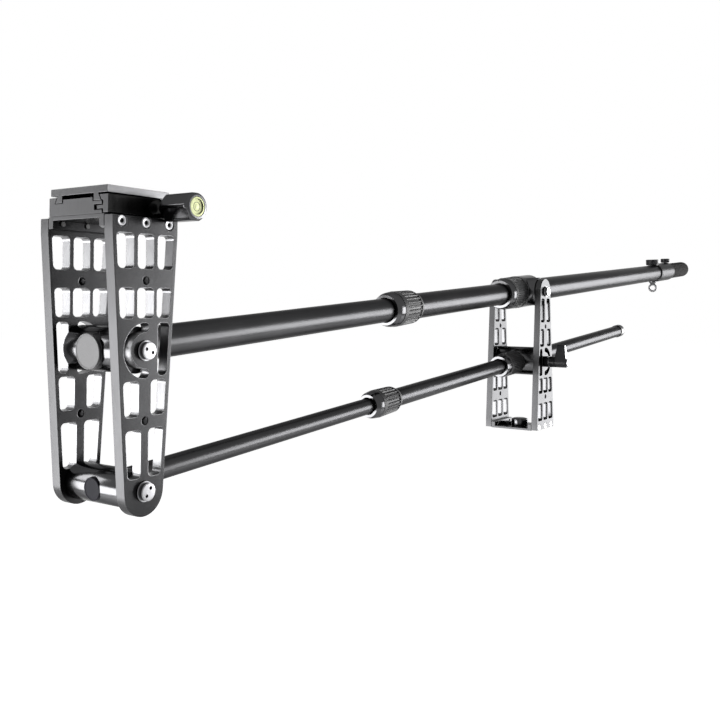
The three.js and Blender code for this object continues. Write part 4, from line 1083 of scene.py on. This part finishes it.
knobBody = paint(combined("DIFFERENCE", knobBody, hollow), 1, where=lambda along, out: (
    along < front + 0.6 and pocket - 0.2 < out < knob["rim"]
))
neckLine = [(back - 1, neck + 1), (back, neck), (-knob["seat"], neck), (-knob["seat"], shaft),
            (-knob["shaftEnd"], shaft)]
addPiece("clamp_hex_knob", moved(gather(knobBody, turned(neckLine, "Y", 48)), onKnob), onHead,
         (shellBlack, greyTrimAndPaintedLipHighlight), "knob", "clamp_knob")

# The level, as depths behind the knob's end: a rim, a sunken dial, a ring mark and a bubble
level = {"radius": 7.8, "back": 5.7, "dial": 6.1, "dialDepth": 1, "mark": (3.3, 3.6), "markDepth": 0.88,
         "bubble": ((0.65, 0), (0.67, 0.8), (0.75, 1.6), (0.9, 2.1), (1.3, 2.3), (1.3, 0))}
radius, dial, dialDepth = sizesOf(level, "radius dial dialDepth")
line = [(dialDepth, dial), (0.1, dial), (0, dial + 0.15), (0, radius - 0.6), (0.35, radius - 0.1),
        (0.8, radius), (level["back"], radius)]
# the sunken dial's wall takes the dark finish: painted shade in the recess
vial = paint(turned([(front + at, out) for at, out in line], "Y", 72), 2, where=lambda along, out: (
    front + 0.05 < along < front + dialDepth - 0.05 and out < dial + 0.1
))
markInner, markOuter = level["mark"]
markFrom, markTo = front + level["markDepth"], front + 1.2
mark = spun([(markFrom, markInner), (markFrom, markOuter), (markTo, markOuter), (markTo, markInner)],
            "Y", 48, ring=True)
bubble = spun([(front + at, out) for at, out in level["bubble"]], "Y", 48)
vial = gather(vial, paint(mark, 2), paint(bubble, 1))
addPiece("clamp_bubble_level", moved(vial, onKnob), onHead, (levelLime, levelClear, mouldedBlack),
         "knob", "bubble_level")

# Camera plate with two dovetail feet, and its screw in the slot
platform = {
    "near": 34.2, "far": 32.4, "bottom": 119.9, "top": 125.6, "footOuterLow": 27, "footOuterHigh": 24,
    "footInner": 18.5, "footBottom": 114.2, "slotHalf": 14, "slotWidth": 3.4, "edge": 0.5,
}
near, far, low, high, foot = sizesOf(platform, "near far bottom top footBottom")
wide, narrow, footInner = sizesOf(platform, "footOuterLow footOuterHigh footInner")
slotHalf, slotWidth = sizesOf(platform, "slotHalf slotWidth")
outline = [
    (-far, low), (-narrow, low), (-wide, foot), (-footInner, foot), (-footInner, low),
    (footInner, low), (footInner, foot), (wide, foot), (narrow, low), (near, low), (near, high),
    (-far, high),
]
cameraPlate = soften(drawn(outline, clamp["half"]), platform["edge"])
slot = block((-slotHalf, -slotWidth, low - 3), (slotHalf, slotWidth, high + 3))
soften(slot, slotWidth * 0.96, segments=8, keep=runsAlong("Z"))
cameraPlate = paintEnds(combined("DIFFERENCE", cameraPlate, slot))
for face in cameraPlate.faces:
    if abs(face.normal.y) > 0.9 and abs(face.calc_center_median().y) > wide + 1:
        face.material_index = 2
addPiece("camera_dovetail_plate", cameraPlate, onHead, (plateBlack, milledBlack, sawnBlack),
         "quick_release_plate", "camera_plate")

cameraScrew = {
    "low": 117.4, "seat": 119.6, "tip": 125, "head": 7.5, "thread": 3.1, "root": 2.7, "pitch": 1,
    "turns": 5, "threadFrom": 0.4, "coinSlot": 0.8,
}
low, seat, tip, head, thread, root = sizesOf(cameraScrew, "low seat tip head thread root")
pitch, turns, coin = sizesOf(cameraScrew, "pitch turns coinSlot")
line = [(low, head - 0.6), (low + 0.6, head), (seat, head), (seat, thread)]
line += threaded(seat + cameraScrew["threadFrom"], pitch, turns, thread, root)[:-1]
line += [(tip, root - 0.1)]
coinSlot = block((-head - 0.5, -coin, low - 1), (head + 0.5, coin, low + 1))
addPiece("camera_quarter_inch_screw", combined("DIFFERENCE", turned(line, "Z", 64), coinSlot),
         onHead, (nickel,), "plate_screw", "camera_screw")
print("camera clamp made")

# The glides inside the tubes are right as they are, and only get their finish
for name in ("boom_front_glide", "boom_middle_glide", "rod_front_glide"):
    materials = frame["nodes"][name].data.materials
    materials.clear()
    materials.append(mouldedBlack)


# Floor, background and lamps
stage = {
    "floorLevel": -1.25, "floorSize": 60, "floorColour": (0.86, 0.86, 0.86), "background": 1,
    "floorLift": 0.9, "fill": 0.12,
}


def onBackground(tree, otherwise, there):
    # one value for rays that show what is behind the object, straight, mirrored or through
    # something clear, and another for the light that falls on it
    rays = tree.nodes.new("ShaderNodeLightPath").outputs
    seen = rays["Is Camera Ray"]
    for kind in ("Is Glossy Ray", "Is Transmission Ray"):
        seen = added(tree, "Math", "Value", {0: seen, 1: rays[kind]}, operation="MAXIMUM")
    return added(tree, "MapRange", "Result", {"Value": seen, "To Min": otherwise, "To Max": there})


floorShape = bmesh.new()
bmesh.ops.create_grid(floorShape, x_segments=1, y_segments=1, size=stage["floorSize"] / 2,
                      matrix=shift(z=stage["floorLevel"]))
floorMesh = bpy.data.meshes.new("floor")
floorShape.to_mesh(floorMesh)
floorShape.free()
floor = bpy.data.objects.new("floor", floorMesh)
scene.collection.objects.link(floor)
floorPaint = bpy.data.materials.new("floorPaint")
floorPaint.use_nodes = True
tree = floorPaint.node_tree
tree.nodes.remove(tree.nodes["Principled BSDF"])
matt = added(tree, "BsdfDiffuse", "BSDF", {"Color": (*stage["floorColour"], 1)})
glow = added(tree, "Emission", "Emission", {"Strength": onBackground(tree, 0, stage["floorLift"])})
both = added(tree, "AddShader", "Shader", {0: matt, 1: glow})
tree.links.new(both, tree.nodes["Material Output"].inputs["Surface"])
floorMesh.materials.append(floorPaint)

world = bpy.data.worlds.new("studio")
scene.world = world
world.use_nodes = True
tree = world.node_tree
background = tree.nodes["Background"].inputs
background["Color"].default_value = (1, 1, 1, 1)
tree.links.new(onBackground(tree, stage["fill"], stage["background"]), background["Strength"])

lamps = {
    # name: (middle, looks at, width, height, light given off per area)
    "frontSoftbox": ((2.1, -2.27, 0.02), (-0.6, 0, 0.15), 0.95, 1.5, 18),
    "tailSoftbox": ((3.29, -1.39, 0.03), (0, 0, 0.15), 1.3, 1.5, 33),
    "farPanel": ((-2.6, 1.62, -0.46), (-0.5, 0, 0.1), 1.9, 1.3, 20),
    "farHighPanel": ((-2.2, 2.4, 1.15), (-0.84, 0, 0.1), 1, 1.2, 12),
    "topSoftbox": ((-0.2, -1.2, 2.6), (0, 0, 0.1), 2.2, 1.2, 1.2),
}
for name, (middle, aim, width, height, radiance) in lamps.items():
    data = bpy.data.lights.new(name, "AREA")
    data.shape = "RECTANGLE"
    data.size, data.size_y = width, height
    data.energy = radiance * width * height * math.pi
    lamp = bpy.data.objects.new(name, data)
    lamp.location = middle
    lamp.rotation_euler = (Vector(aim) - Vector(middle)).to_track_quat("-Z", "Y").to_euler()
    lamp.visible_camera = False
    lamp.visible_glossy = name != "topSoftbox"   # it only lifts the tops, and shows in nothing
    scene.collection.objects.link(lamp)
print("floor and lamps placed")
